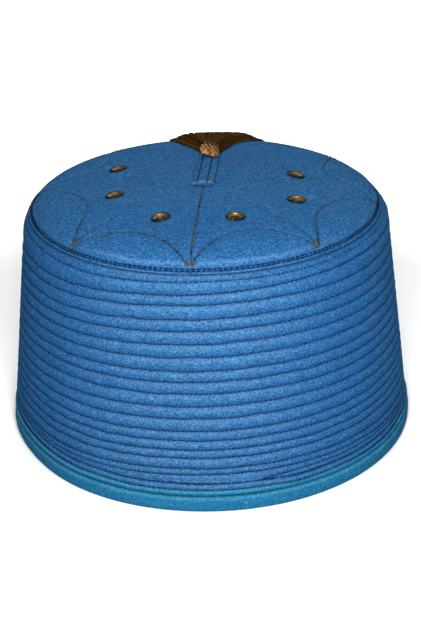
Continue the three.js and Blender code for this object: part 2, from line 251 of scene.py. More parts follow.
# Beyond these reaches lie the strip's outer half, its outer face and the skin of that face
OUTER_HALF = 92
OUTER_FACE = 93
OUTER_SKIN = 93.9
BINDING_ROW_HEIGHT = 7.9
BINDING_ROW_REACH = 94.05
BINDING_ROW_WIDTH = 0.7
BINDING_ROW_SHADE = 0.6
BINDING_PUCKER = 0.12
BINDING_PUCKERS = 260
BINDING_RIPPLE = 0.1
BINDING_RIPPLE_START = (2, 4)
# Painted highlights along the fold: height, width, amount
BINDING_HIGHLIGHTS = [(6.9, 0.55, 0.4), (10, 0.45, 0.35)]

# Eyelets: angle, reach, and how far each leans to the right and back in the soft felt, in degrees
EYELETS = np.array([
    (-20.7, 44.4, -9, 0), (21.9, 44.6, 0.5, 0), (64.6, 46.9, 3, 2), (104.6, 42.8, 10, 4),
    (-114.7, 46.1, -7, 5), (-68.5, 42, -8, 3),
])
EYELET_SEGMENTS = 44
EYELET_LIFT = 0.2
EYELET_FLANGE = 4.38
EYELET_HOLE = 2.95
EYELET_HOLE_SIDES = 32
# Spool of an eyelet from inside the bore over the flange and to its back: reach, height
EYELET_PROFILE = [
    (2.3, -3.3), (2.3, -1.6), (2.34, -1.1), (2.44, -0.65), (2.6, -0.36), (2.85, -0.16), (3.08, 0.05),
    (3.24, 0.32), (3.36, 0.58), (3.54, 0.74), (3.78, 0.74), (4.02, 0.6), (4.22, 0.38), (4.38, 0.12),
    (4.36, -0.02), (4.1, -0.06), (2.8, -0.04), (2.8, -2.7), (4.1, -2.7), (4.2, -2.85), (4.1, -3.2),
    (3.9, -3.3),
]
# Dark patina on the flange and down the bore: where it starts and is full, and its amount
FLANGE_PATINA = (3.15, 3.4)
BORE_PATINA = (2.8, 2.45)
BORE_PATINA_AMOUNT = 0.85

# Tab: half of its cross-section, and one sewn groove, as offset from the middle and lift
TAB_EDGE = [
    (3, 0.15), (4.5, 0.15), (4.82, 0.3), (4.95, 0.8), (4.92, 1.35), (4.7, 1.75), (4.2, 1.98), (3.5, 2.04),
]
TAB_GROOVE = [(0.9, 2), (0.45, 1.9), (0, 1.62), (-0.45, 1.88), (-0.9, 2.02)]
TAB_UNDER = (0, 0.15)
TAB_MIDDLE = (0, 2.08)
TAB_FRONT = -6
TAB_BACK = 36.4
TAB_STEP = 0.7
TAB_FRONT_STEPS = (0, 0.15, 0.5)
TAB_FRONT_ROUND = 0.25
TAB_UPPER_HALF = 1
TAB_STITCH_X = (-2.6, 1.8)
TAB_STITCH_LIFT = 1.68
TAB_STITCH_SHADE = 0.6
TAB_STITCH_WIDTH = 0.4
TAB_ROW_ENDS = (-4.8, 31.4)
TAB_ROW_STEPS = 60
TAB_BAR_ENDS = (-5.2, 2.5)
TAB_BAR_STEPS = 40
# Brown stitches at the tab's front: side, back, lean to the side
TAB_TACKS = [(-3.4, -4.6, 0.9), (1.6, -5.2, 0.3)]
TAB_TACK_HALF = 0.9
# Pale frayed fibres at the cut front edge, above this lift, partly a painted highlight
FRAY = 0.5
FRAY_WIDTH = 1.4
FRAY_LOWEST = 0.6
FRAY_MEAN = 0.55
FRAY_WAVE = 0.45
FRAY_RATE = 2.4

# Tassel: the wound neck stands on the tab's end, leaning back and to the right
WRAP_BASE = (-0.2, 29.6, 3.7)
WRAP_AXIS = np.array([0.3, 0.7, 0.65])
WRAP_SIDE = np.array([0.9, -0.34, -0.27])
WRAP_TURNS = 3.6
WRAP_STEPS = 252
WRAP_CORD = 1.45
WRAP_TAPER = 0.3
WRAP_TAPER_START = 0.4
WRAP_HALF_WIDTH = 4.7
WRAP_HALF_DEPTH = 2.5
WRAP_SIDES = 8
PLIES = 2
PLY_RADIUS = 0.46
PLY_REACH = 0.36
PLY_PITCH = 4.2
# Painted shade in the plies' creases and on the upper turns
PLY_CREASE = (0.55, 1)
UPPER_SHADE = 0.8
UPPER_SHADE_START = (0.35, 0.9)
# Cords inside the winding: side, depth
NECK_CORDS = [(-2.5, 0), (-1.2, 0.5), (-1.1, -0.6), (0, 0), (1.1, 0.6), (1.2, -0.5), (2.5, 0)]
NECK_CORD_RADIUS = 0.7
NECK_CORD_ENDS = (-0.8, 5)
NECK_CORD_STEPS = 8
SKIRT_START = 34
SKIRT_LENGTH = 108
SKIRT_UNEVEN = 7
SKIRT_CURVE_SKIP = 18
SKIRT_WALL_HEIGHTS = np.arange(98, 28, -4)
# Skirt along its way: travel, half width to the left and right, thickness, standoff from the felt
SKIRT_ROWS = np.array([
    (0, 3, 3, 2.4, 5.2), (9, 5.4, 5.3, 2.8, 4.2), (17, 10.6, 8.4, 3, 2.9), (24, 15.4, 10.8, 3, 2.3),
    (31, 19.6, 16.4, 2.9, 2.1), (36, 22.2, 22.2, 2.9, 2.1), (44, 22.8, 24.6, 3, 2.4),
    (57, 23.6, 24.8, 3.2, 2.3), (74, 24.4, 25, 3.4, 2.4), (92, 25, 25.2, 3.2, 2.4),
    (108, 25.8, 25.8, 2.6, 2.2),
])
SKIRT_THIN_EDGE = (0.62, 1)
SKIRT_THINNED = 0.9
SKIRT_HUG_EDGE = (0.45, 1)
SKIRT_HUG_GAP = 0.15
# Travel at which a middle strand leaves the neck, and how much sooner an outer one does
SKIRT_LEAVES_NECK = (3.5, 15)
SKIRT_LEAVES_SOONER = (7, 9)
STRANDS = 560
STRAND_STEPS = 40
STRAND_SPACING = 1.4
STRAND_SIDES = 4
STRAND_RADIUS = 0.34
STRAND_GIRTHS = ((0, 6, 30), (0.5, 0.65, 1))
# Slow drift of strands to the side: amount, waves per travel
STRAND_DRIFTS = ((0.03, 0.11), (0.012, 0.37))
STRAND_PHASES = (0, 6.3)
STRAND_DRIFT_START = (6, 30)
STRAND_CLUMP = 0.012
STRAND_CLUMPS = 31

# Stitches: a thread's points as shares of its length, their girth, and their lift in radii
STITCH_SHARES = np.array([-0.5, -0.36, 0.36, 0.5])[:, None]
STITCH_GIRTHS = np.array([0.5, 1, 1, 0.5])
STITCH_LIFTS = np.array([-0.5, 0.25, 0.25, -0.5])[:, None]
STITCH_SPREAD = 0.1
STITCH_LIMITS = (0.75, 1.25)
STITCH_SIDES = 4
ROUND_SIDES = 6
SPIRAL_STITCH = dict(pitch=2.05, length=1.45, radius=0.3)
BLACK_STITCH = dict(pitch=2.1, length=2.1, radius=0.38)
HEM_STITCH = dict(pitch=2.1, length=1.8, radius=0.33)
LIP_STITCH = dict(pitch=2.3, length=1.3, radius=0.22)
BINDING_STITCH = dict(pitch=2.2, length=1.9, radius=0.27, sides=STITCH_SIDES)
PETAL_STITCH = dict(pitch=2.2, length=1.75, radius=0.35, lift=0.12)
TOP_STITCH = dict(pitch=2 * math.pi * SEAM_REACH / TOPSTITCHES, length=1.7, radius=0.26, lift=-0.3)
TAB_STITCH = dict(pitch=2.1, length=1.8, radius=0.27)
TAB_BAR = dict(pitch=1.9, length=2.2, radius=0.5, lift=0.3)
TAB_TACK = dict(length=2.2, radius=0.32, lift=0.3)
KNOT = dict(radius=0.42, lift=0.2)
# How far rows on the wall are sunk below the rib crests, and where the black hem row runs
SPIRAL_PROUD = 0.1
TOP_ROW_SUNK = 0.85
HEM_ROW_SUNK = 0.75
LIP_ROW_SUNK = -0.35
SPIRAL_ROW = (SPIRAL_START + 2, LAST_START + SPIRAL_END - 3)
BLACK_ROW = (-4, SPIRAL_START + 6)
HEM_ROWS = ((-180, -5), (SPIRAL_START + 8, 180))
ROW_STEP = 0.5
ROW_JITTER = 0.06
ROW_TILT = 0.12
PETAL_PATH_STEP = 0.4
PETAL_TONES = (0.6, 1)
PETAL_FADE_SPREAD = 0.06

# Noise in the materials: scale per metre, detail, roughness
FELT_BLOTCH = (75, 3, 0.55)
FELT_MOTTLE = (1300, 3, 0.6)
FELT_GRAIN = (2600, 3, 0.7)
FELT_FLECK = (950, 2, 0.5)
FELT_CAST = (190, 2, 0.5)
FELT_FIBRE = (1, 1.5, 0.5)
THREAD_TWIST = (700, 2, 0.6)
THREAD_GRAIN = (2600, 2, 0.6)
BRASS_WEAR = (420, 4, 0.6)
BRASS_GRAIN = (2600, 3, 0.6)
CORD_TONE = (520, 3, 0.6)
CORD_FIBRE = (1, 2, 0.6)
YARN_GRAIN = (1500, 3, 0.6)
PAPER_TONE = (6, 2, 0.5)
# Stretch of fibres per metre along and across, and the directions they lie in, in degrees
FIBRE_SCALE = (420, 2300, 2300)
FIBRE_TURNS = ((0, 0, 20), (0, 35, 80), (60, 10, 140), (15, 75, 45))
CORD_FIBRE_SCALE = (900, 2600, 2600)
CORD_FIBRE_TURN = (0, 25, 70)
TWIST_SCALE = (1, 1, 1.6)
TWIST_TURN = (20, 30, 40)
# Colours that multiply the felt's own, as linear light; the deep tint is painted shade on the wall's sides
# and a deeper blue at the crown's front
DEEP_TINT_AND_SHADE = (0.66, 0.86, 1)
VIOLET_CAST = (1.12, 0.95, 0.98)
# Tones in screen values. Felt: base, light, dark, painted shade, pale flecks and painted highlight. Thread:
# light, dark, faded
BLUE_TONES = [(26, 76, 119), (71, 124, 167), (15, 51, 90), (5, 33, 70), (102, 143, 179)]
TEAL_TONES = [(21, 88, 124), (45, 117, 150), (13, 69, 104), (6, 47, 68), (76, 147, 172)]
THREAD_TONES = {
    "navy": [(9, 40, 78), (5, 24, 54)],
    "seam": [(4, 22, 48), (2, 12, 30)],
    "black": [(14, 24, 36), (4, 8, 12)],
    "teal": [(9, 64, 88), (4, 38, 56)],
    "olive": [(64, 70, 42), (8, 24, 36), (44, 92, 134)],
    "knot": [(70, 58, 34), (28, 28, 22)],
}
BRASS_TONES = [(156, 126, 70), (9, 12, 13)]
CORD_TONES = [(126, 77, 28), (206, 151, 88), (70, 38, 14), (22, 12, 3)]
YARN_TONES = [(43, 28, 8), (92, 57, 20), (26, 15, 2)]
PAPER_TONES = [(0.9, 0.9, 0.9), (0.93, 0.93, 0.93)]

# Lamps in metres: shape, power, size, spread, place, aim
LAMPS = {
    "key": ("DISK", 1.55, 0.16, 120, (0.042, -0.42, 0.29), (0, -0.03, 0.04)),
    "top": ("SQUARE", 8.6, 0.9, 180, (0, 0.62, 0.85), (0, 0.25, 0)),
    "back": ("SQUARE", 6, 1, 180, (0, 1.7, 1), (0, 1.3, 0)),
}
WORLD_STRENGTH = 0.1
FLOOR_HALF = 6
# The floor glows away from the cap, from the first of these distances in metres to the second
FLOOR_GLOW = (0.2, 0.5)

# Camera, as the photograph was taken
CAMERA_AZIMUTH = 4.54
CAMERA_DISTANCE = 656.6
CAMERA_HEIGHT = 361.5
CAMERA_PITCH = 25.549
CAMERA_YAW = 0.032
CAMERA_ROLL = -1.297
CAMERA_LENS = 87.44
SENSOR = 36

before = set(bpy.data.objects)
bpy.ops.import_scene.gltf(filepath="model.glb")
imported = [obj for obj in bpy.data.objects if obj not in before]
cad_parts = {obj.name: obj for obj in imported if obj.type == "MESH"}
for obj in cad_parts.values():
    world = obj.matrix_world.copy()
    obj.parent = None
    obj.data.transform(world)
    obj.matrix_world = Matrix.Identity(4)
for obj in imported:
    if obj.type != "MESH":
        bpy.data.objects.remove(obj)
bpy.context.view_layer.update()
random = np.random.default_rng(SEED)


# Shapes that several pieces share

def settle(points):
    """Points of the round cap, moved to where the cap stands: oval, tipped and shifted."""
    x, y, z = np.moveaxis(points, -1, 0)
    share = z / SEAM_HEIGHT
    x = x + share * SHIFT_SIDE
    y = y * DEPTH_RATIO
    return np.stack([x, y, z + share * (TIP_SIDE * x - TIP_BACK * y)], -1)


def plan_of(places):
    """Plan points of the round cap under settled points of the crown."""
    return places[:, :2] / (1, DEPTH_RATIO) - (SHIFT_SIDE, 0)


def turned(angle, reach, height):
    """Points of the round cap at an angle, a reach and a height."""
    angle, reach, height = np.broadcast_arrays(angle, reach, height)
    turn = np.radians(angle)
    return np.stack([reach * np.sin(turn), -reach * np.cos(turn), height], -1)


def plan_at(angle, reach):
    return turned(angle, reach, 0.0)[..., :2]


def round_angles(count, start=0):
    return start + 360 * np.arange(count) / count


def wrapped(angle):
    """The same angle from -180 to 180."""
    return (angle + 180) % 360 - 180


def ease(low, high, x):
    """From 0 at low to 1 at high, which may also lie below low."""
    t = np.clip((x - low) / (high - low), 0, 1)
    return t * t * (3 - 2 * t)


def plateau(x, rise, fall):
    """Up to 1 between the two values of rise, and down again between those of fall."""
    return ease(*rise, x) * (1 - ease(*fall, x))


def bell(away, width):
    return np.exp(-((away / width) ** 2))


def bells(x, table):
    """Sum of bells with their middles, widths and amounts in a table."""
    return sum(amount * bell(x - middle, width) for middle, width, amount in table)


def norm(vectors):
    return np.linalg.norm(vectors, axis=-1)


def unit(vectors):
    return vectors / (norm(vectors)[..., None] + TINY)


def smooth_curve(points, count):
    """Points along a Catmull-Rom curve through the given ones."""
    points = np.asarray(points, float)
    last = len(points) - 1
    t = np.linspace(0, last, count)
    i = np.minimum(t.astype(int), last - 1)
    f = (t - i)[:, None]
    p0, p1, p2, p3 = (points[np.clip(i + k, 0, last)] for k in (-1, 0, 1, 2))
    v0 = (p2 - p0) / 2
    v1 = (p3 - p1) / 2
    return ((2 * p1 - 2 * p2 + v0 + v1) * f + (-3 * p1 + 3 * p2 - 2 * v0 - v1)) * f * f + v0 * f + p1


def travel_along(path):
    """Length of the way from a path's start to each of its points."""
    return np.concatenate([[0], np.cumsum(norm(np.diff(path, axis=0)))])


def points_at(at, travel, path):
    """Points of a path after so much travel."""
    return np.stack([np.interp(at, travel, column) for column in path.T], -1)


def even_points(path, count):
    travel = travel_along(path)
    return points_at(np.linspace(0, travel[-1], count), travel, path)


def resample(path, step):
    return even_points(path, max(int(travel_along(path)[-1] / step), 2))


def spaced(path, pitch):
    """Places every pitch along a path, with the direction there."""
    travel = travel_along(path)
    count = max(int(travel[-1] / pitch), 1)
    at = (np.arange(count) + 0.5) * travel[-1] / count
    ahead = points_at(at + pitch / 4, travel, path)
    behind = points_at(at - pitch / 4, travel, path)
    return points_at(at, travel, path), unit(ahead - behind)


CROWN_CURVE = smooth_curve(
    [(share * SEAM_REACH, SEAM_HEIGHT + rise) for share, rise in CROWN_ROWS], CURVE_POINTS,
)
EYELET_CENTRES = plan_at(EYELETS[:, 0], EYELETS[:, 1])
# How steeply the felt falls to the right and to the back at each eyelet
EYELET_SLOPES = np.tan(np.radians(EYELETS[:, 2:]))


def crown_height(reach):
    return np.interp(reach, *CROWN_CURVE.T)


def wall_crest(height):
    return np.interp(height, WALL_HEIGHTS, WALL_REACHES)


def make_waves(count, turns, rises, seed):
    """Slow waves round the cap, as rows of turns per round, rise per millimetre, phase and weight."""
    draw = np.random.default_rng(seed)
    return np.stack([
        draw.integers(*turns, count), draw.uniform(*rises, count),
        draw.uniform(0, 2 * math.pi, count), draw.uniform(*WAVE_WEIGHTS, count),
    ], -1)


def wave(waves, angle, height):
    """Sum of waves at an angle and height, from about -1 to 1."""
    total = 0
    for turns, rise, phase, weight in waves:
        total = total + weight * np.sin(np.radians(angle) * turns + rise * height + phase)
    return total / math.sqrt(len(waves))


WALL_WAVES = make_waves(count=9, turns=(2, 9), rises=(-0.05, 0.05), seed=3)
RIPPLE_WAVES = make_waves(count=16, turns=(18, 70), rises=(-0.5, 0.5), seed=4)
HEM_WAVES = make_waves(count=8, turns=(5, 26), rises=(0, 0), seed=5)
ROW_WAVES = make_waves(count=12, turns=(7, 40), rises=(-0.6, 0.6), seed=6)
CROWN_WAVES = make_waves(count=8, turns=(1, 6), rises=(0.02, 0.09), seed=8)


# Mesh makers

def link_object(name, data):
    made = bpy.data.objects.new(name, data)
    bpy.context.scene.collection.objects.link(made)
    return made


def new_piece(name, points, faces, material, slot=None, replaced=()):
    """A smooth-shaded mesh from points in millimetres, riding on the cap."""
    mesh = bpy.data.meshes.new(name)
    mesh.from_pydata((np.asarray(points).reshape(-1, 3) * MM).tolist(), [], faces)
    mesh.polygons.foreach_set("use_smooth", [True] * len(mesh.polygons))
    mesh.materials.append(material)
    mesh.update()
    piece = link_object(name, mesh)
    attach(piece, "root")
    if replaced:
        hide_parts(*replaced)
    return piece


def set_shade(piece, values, name="painted_shade_and_tone"):
    """Keeps one number for each vertex, which the piece's material reads."""
    layer = piece.data.attributes.new(name, "FLOAT", "POINT")
    layer.data.foreach_set("value", np.ravel(values).astype(float))


def grid_rows(rows, columns, start=0):
    """Numbers of the vertices of a grid, row by row."""
    return start + np.arange(rows * columns).reshape(rows, columns)


def ring_faces(rows):
    """Quads between each two neighbours of rows of vertices that close on themselves."""
    faces = []
    for low, high in zip(rows, rows[1:]):
        faces += np.stack([low, np.roll(low, -1), np.roll(high, -1), high], -1).tolist()
    return faces


def swept_faces(rows, columns):
    """Quads of a closed profile that is carried round, one row for each of its points."""
    grid = grid_rows(rows, columns)[::-1]
    return ring_faces([grid[-1], *grid])


def tubes(paths, radii, sides, normals=TUBE_NORMAL):
    """Closed tubes along many paths at once: paths (n, steps, 3), radii (n, steps)."""
    n, steps, _ = paths.shape
    along = unit(np.gradient(paths, axis=1))
    side = unit(np.cross(along, normals))
    up = np.cross(side, along)
    turn = 2 * math.pi * (np.arange(sides) + 0.5) / sides
    ring = np.cos(turn)[:, None] * side[:, :, None] + np.sin(turn)[:, None] * up[:, :, None]
    points = paths[:, :, None] + radii[:, :, None, None] * ring
    rows = grid_rows(steps, sides)
    shifts = np.arange(n)[:, None, None] * steps * sides
    body = np.array(ring_faces(rows[::-1])) + shifts
    ends = np.stack([rows[0], rows[-1, ::-1]]) + shifts
    return points.reshape(-1, 3), body.reshape(-1, 4).tolist() + ends.reshape(-1, sides).tolist()


def join_parts(parts):
    """One list of points and faces from several."""
    faces = []
    shift = 0
    for some_points, some_faces in parts:
        faces += [[corner + shift for corner in face] for face in some_faces]
        shift += len(some_points)
    return np.concatenate([some_points for some_points, _ in parts]), faces


def stitches(places, along, normals, length, radius, sides):
    """Short threads that lie on the felt, their ends sunk in it."""
    n = len(places)
    long = length * (1 + STITCH_SPREAD * random.standard_normal(n)).clip(*STITCH_LIMITS)
    normals = normals[:, None]
    paths = places[:, None] + along[:, None] * (STITCH_SHARES * long[:, None, None])
    radii = np.broadcast_to(STITCH_GIRTHS * radius, (n, len(STITCH_GIRTHS)))
    return tubes(paths + normals * (STITCH_LIFTS * radius), radii, sides, normals)


def sew(path, normals_at, pitch, length, radius, lift=0, sides=ROUND_SIDES):
    """Stitches along a path, lifted along the normals at their places."""
    places, along = spaced(path, pitch)
    normals = normals_at(places)
    return stitches(places + lift * normals, along, normals, length, radius, sides)


def tack(ends, normals_at, length, radius, lift):
    """One stitch in the middle between two ends."""
    middle = ends.mean(0)[None]
    normals = normals_at(middle)
    return stitches(middle + lift * normals, unit(ends[1:] - ends[:1]), normals, length, radius, ROUND_SIDES)


def outward(places):
    """Level directions away from the cap's middle."""
    return unit(places * (1, 1, 0))


def upward(places):
    return np.broadcast_to(UP, places.shape)


# Materials

class Nodes:
    """A material's nodes, added and linked in short calls."""

    def __init__(self, name):
        self.material = bpy.data.materials.new(name)
        self.material.use_nodes = True
        self.tree = self.material.node_tree

    def put(self, value, socket):
        """Links a node's output to a socket, or sets the socket's own value."""
        if isinstance(value, bpy.types.NodeSocket):
            self.tree.links.new(value, socket)
        elif socket.type == "RGBA":
            socket.default_value = (*value, 1)
        else:
            socket.default_value = value

    def add(self, kind, inputs, output=0, **settings):
        node = self.tree.nodes.new(kind)
        for key, value in settings.items():
            setattr(node, key, value)
        for key, value in inputs.items():
            self.put(value, node.inputs[key])
        return node.outputs[output]

    def place(self):
        return self.add("ShaderNodeTexCoord", {}, "Object")

    def attribute(self, name):
        return self.add("ShaderNodeAttribute", {}, "Fac", attribute_name=name)

    def stretched(self, place, scale, turn):
        turn = [math.radians(t) for t in turn]
        return self.add("ShaderNodeMapping", {"Vector": place, "Scale": scale, "Rotation": turn})

    def noise(self, place, scale, detail, roughness):
        inputs = {"Vector": place, "Scale": scale, "Detail": detail, "Roughness": roughness}
        return self.add("ShaderNodeTexNoise", inputs, "Fac")

    def fit(self, value, low, high, to_low=0, to_high=1):
        """A value from low to high, changed to one from to_low to to_high."""
        ends = {"From Min": low, "From Max": high, "To Min": to_low, "To Max": to_high}
        return self.add("ShaderNodeMapRange", {"Value": value, **ends})

    def math(self, operation, a, b):
        return self.add("ShaderNodeMath", {0: a, 1: b}, operation=operation)

    def most(self, values):
        """The largest of several values."""
        most, *others = values
        for value in others:
            most = self.math("MAXIMUM", most, value)
        return most

    def mix(self, share, a, b, blend="MIX"):
        return self.add("ShaderNodeMix", {0: share, 6: a, 7: b}, 2, data_type="RGBA", blend_type=blend)

    def bump(self, height, strength, distance, **onto):
        inputs = {"Height": height, "Strength": strength, "Distance": distance, **onto}
        return self.add("ShaderNodeBump", inputs)

    def finish(self, colour, **values):
        """Sets the surface, with underscores for the spaces in the names of its inputs."""
        shader = self.tree.nodes["Principled BSDF"]
        for key, value in {"Base_Color": colour, **values}.items():
            self.put(value, shader.inputs[key.replace("_", " ")])
        return self.material


def srgb(colour):
    """A colour given in screen values from 0 to 255, as linear light."""
    values = np.array(colour) / 255
    linear = np.where(values <= 0.04045, values / 12.92, ((values + 0.055) / 1.055) ** 2.4)
    return tuple(float(v) for v in linear)


def felt(name, tones):
    """Heathered wool felt: mottled, with pale and dark fibres laid every way, painted shade and painted
    highlights.
    """
    base, light, dark, painted_shade_tone, fleck_and_highlight_tone = map(srgb, tones)
    nodes = Nodes(name)
    place = nodes.place()
    blotch = nodes.noise(place, *FELT_BLOTCH)
    mottle = nodes.noise(place, *FELT_MOTTLE)
    grain = nodes.noise(place, *FELT_GRAIN)
    laid = [nodes.stretched(place, FIBRE_SCALE, turn) for turn in FIBRE_TURNS]
    strands = [nodes.noise(way, *FELT_FIBRE) for way in laid]
    fibres = nodes.most([nodes.fit(strand, 0.6, 0.74) for strand in strands])
    shadows = nodes.most([nodes.fit(strand, 0.4, 0.28) for strand in strands])
    # Painted highlight read from the mesh, varied by the mottle
    highlight_amount = nodes.math("MULTIPLY", nodes.attribute("painted_highlight"), nodes.fit(mottle, 0.38, 0.62, 0.4, 1.6))
    cast = nodes.fit(nodes.noise(place, *FELT_CAST), 0.4, 0.6)
    colour = base
    for share, tone, *blend in (
        (nodes.fit(blotch, 0.32, 0.68, 0, 0.25), dark),
        (nodes.fit(mottle, 0.45, 0.7, 0, 0.6), light),
        (nodes.fit(mottle, 0.48, 0.3, 0, 0.45), dark),
        (nodes.math("MULTIPLY", fibres, 0.5), light),
        (nodes.math("MULTIPLY", shadows, 0.45), dark),
        (nodes.fit(nodes.noise(place, *FELT_FLECK), 0.6, 0.72, 0, 0.4), fleck_and_highlight_tone),
        (cast, VIOLET_CAST, "MULTIPLY"),
        (highlight_amount, fleck_and_highlight_tone),
        # Painted shade read from the mesh, then the deep tint, which is painted shade on the wall's sides
        (nodes.attribute("painted_shade_and_tone"), painted_shade_tone),
        (nodes.attribute("deep_tint_and_painted_shade"), DEEP_TINT_AND_SHADE, "MULTIPLY"),
    ):
        colour = nodes.mix(share, colour, tone, *blend)
    fine = nodes.math("ADD", nodes.math("MULTIPLY", grain, 0.5), nodes.math("MULTIPLY", fibres, 0.5))
    normal = nodes.bump(mottle, strength=0.5, distance=0.0004)
    normal = nodes.bump(fine, strength=0.45, distance=0.0003, Normal=normal)
    return nodes.finish(colour, Normal=normal, Roughness=0.95, Specular_IOR_Level=0)


def thread(name, tones):
    """Sewing thread of two tones, chosen stitch by stitch, in places faded to a third one."""
    light, dark, *faded = map(srgb, tones)
    nodes = Nodes(f"{name}_thread")
    place = nodes.place()
    twist = nodes.noise(nodes.stretched(place, TWIST_SCALE, TWIST_TURN), *THREAD_TWIST)
    tone = nodes.math("ADD", nodes.fit(twist, 0.4, 0.6, -0.3, 0.3), nodes.attribute("painted_shade_and_tone"))
    colour = nodes.mix(tone, light, dark)
    for pale in faded:
        colour = nodes.mix(nodes.attribute("fade"), colour, pale)
    normal = nodes.bump(nodes.noise(place, *THREAD_GRAIN), strength=0.4, distance=0.0001)
    return nodes.finish(colour, Normal=normal, Roughness=0.75, Specular_IOR_Level=0.04)


def antique_brass():
    """Brass with a near black patina on the flange, rubbed bright inside."""
    nodes = Nodes("antique_brass")
    place = nodes.place()
    worn = nodes.fit(nodes.noise(place, *BRASS_WEAR), 0.35, 0.65, -0.15, 0.2)
    patina = nodes.math("ADD", worn, nodes.attribute("painted_shade_and_tone"))
    return nodes.finish(
        nodes.mix(patina, *map(srgb, BRASS_TONES)),
        Normal=nodes.bump(nodes.noise(place, *BRASS_GRAIN), strength=0.2, distance=0.0001),
        Roughness=nodes.fit(patina, 0, 1, 0.42, 0.6),
        Metallic=nodes.fit(patina, 0.1, 0.8, 1, 0),
        Specular_IOR_Level=0.1,
    )


def gold_cord():
    """Copper-gold cord, with painted shade in the creases between its plies and on its upper turns."""
    low, high, lined, painted_crease_shade = map(srgb, CORD_TONES)
    nodes = Nodes("gold_cord")
    place = nodes.place()
    tone = nodes.noise(place, *CORD_TONE)
    fine = nodes.noise(nodes.stretched(place, CORD_FIBRE_SCALE, CORD_FIBRE_TURN), *CORD_FIBRE)
    colour = nodes.mix(nodes.fit(tone, 0.36, 0.64), low, high)
    colour = nodes.mix(nodes.fit(fine, 0.55, 0.35, 0, 0.5), colour, lined)
    # Painted shade in the creases and on the upper turns
    colour = nodes.mix(nodes.attribute("painted_shade_and_tone"), colour, painted_crease_shade)
    normal = nodes.bump(fine, strength=0.4, distance=0.0002)
    return nodes.finish(colour, Normal=normal, Roughness=0.45, Specular_IOR_Level=0.12)


def brown_yarn():
    """Dark brown tassel yarn with lighter strands among it."""
    dark, light, grain = map(srgb, YARN_TONES)
    nodes = Nodes("brown_yarn")
    fine = nodes.noise(nodes.place(), *YARN_GRAIN)
    colour = nodes.mix(nodes.attribute("painted_shade_and_tone"), dark, light)
    colour = nodes.mix(nodes.fit(fine, 0.4, 0.6, 0, 0.35), colour, grain)
    normal = nodes.bump(fine, strength=0.4, distance=0.0002)
    return nodes.finish(colour, Normal=normal, Roughness=0.7, Specular_IOR_Level=0.005)


def floor_paper():
    """Pale paper that glows away from the cap."""
    nodes = Nodes("floor_paper")
    place = nodes.place()
    distance = nodes.add("ShaderNodeVectorMath", {0: place}, "Value", operation="LENGTH")
    return nodes.finish(
        nodes.mix(nodes.noise(place, *PAPER_TONE), *PAPER_TONES), Roughness=0.95,
        Specular_IOR_Level=0.1, Emission_Color=(1, 1, 1), Emission_Strength=nodes.fit(distance, *FLOOR_GLOW),
    )


BLUE_FELT = felt("blue_felt", BLUE_TONES)
TEAL_FELT = felt("teal_felt", TEAL_TONES)
THREADS = {name: thread(name, tones) for name, tones in THREAD_TONES.items()}
BRASS = antique_brass()
GOLD = gold_cord()
YARN = brown_yarn()


# Side wall

def hem_drop(angle):
    """How far the hem has dropped, as a share, from where the spiral leaves it to the back."""
    return plateau(wrapped(angle), *HEM_DROP_ANGLES)


def hem_row(angle):
    """Height of the row along the binding."""
    return HEM_HEIGHT - HEM_DROP * hem_drop(angle) + HEM_WAVER * wave(HEM_WAVES, angle, 0)


def top_row(angle):
    """Height of the row under the seam."""
    return np.interp(angle, *np.transpose(TOP_ROW))


def sag(angle):
    bend = np.radians(angle - SAG_PEAK_ANGLE)
    return (1 - np.cos(bend)) + SAG_SECOND * (1 - np.cos(2 * bend))


def side_rise(angle, height):
    """How far the rows ride up at an angle and a height."""
    angles, *rises = np.transpose(SIDE_RISE)
    shares = np.eye(len(RISE_HEIGHTS))
    return sum(
        np.interp(angle, angles, rise) * np.interp(height, RISE_HEIGHTS, share)
        for rise, share in zip(rises, shares)
    )


def spiral_height(travelled):
    """Height of the stitched spiral after so many degrees from the front."""
    base = np.interp(travelled / 360, np.arange(TURNS), TURN_HEIGHTS)
    angle = wrapped(travelled)
    sagged = np.interp(base, SAG_HEIGHTS, SAG_AMOUNTS) * (sag(angle) - sag(0))
    height = base - sagged + SPIRAL_WAVER * wave(ROW_WAVES, angle, base) + side_rise(angle, base)
    first = np.interp(travelled, *np.transpose(FIRST_TURN))
    last = np.interp(travelled - LAST_START, *np.transpose(LAST_TURN))
    return np.where(travelled < 360, first, np.where(travelled > LAST_START, last, height))


def wall_rows(angle):
    """Heights and depths of all grooves at some angles, from the hem row to the seam."""
    rows = [spiral_height(angle + 360 * turn) for turn in range(TURNS)]
    full = np.ones_like(angle)
    depths = [full] * TURNS
    hem = hem_row(angle)
    top = top_row(angle)
    before = hem + np.interp(SPIRAL_START - angle, *ROW_BEFORE) * (rows[1] - hem)
    rows[0] = np.where(angle < SPIRAL_START, before, np.maximum(rows[0], hem + ROW_GAP))
    depths[0] = ease(SPIRAL_START, SPIRAL_START + SPIRAL_DEEPENS, angle)
    after = top - np.interp(angle - SPIRAL_END, *ROW_AFTER) * (top - rows[-2])
    rows[-1] = np.where(angle > SPIRAL_END, after, np.minimum(rows[-1], top - ROW_GAP))
    depths[-1] = 1 - ease(SPIRAL_END - SPIRAL_FADES, SPIRAL_END, angle)
    heights = np.stack([hem, *rows, top, full * WALL_HEIGHTS[-1]], -1)
    return heights, np.stack([full, *depths, full * TOP_ROW_DEPTH, full * SEAM_DEPTH], -1)


def side_fullness(angle, height):
    """How far the wall bulges at its sides."""
    across = np.sin(np.radians(angle))
    right = ease(0, 1, across) * np.interp(height, FULL_HEIGHTS, FULL_RIGHT)
    left = ease(0, 1, -across) * np.interp(height, FULL_HEIGHTS, FULL_LEFT)
    tucked = 1 - FULL_TUCK * ease(*FULL_END, height)
    return (right + left) * ease(*FULL_START, height) * tucked


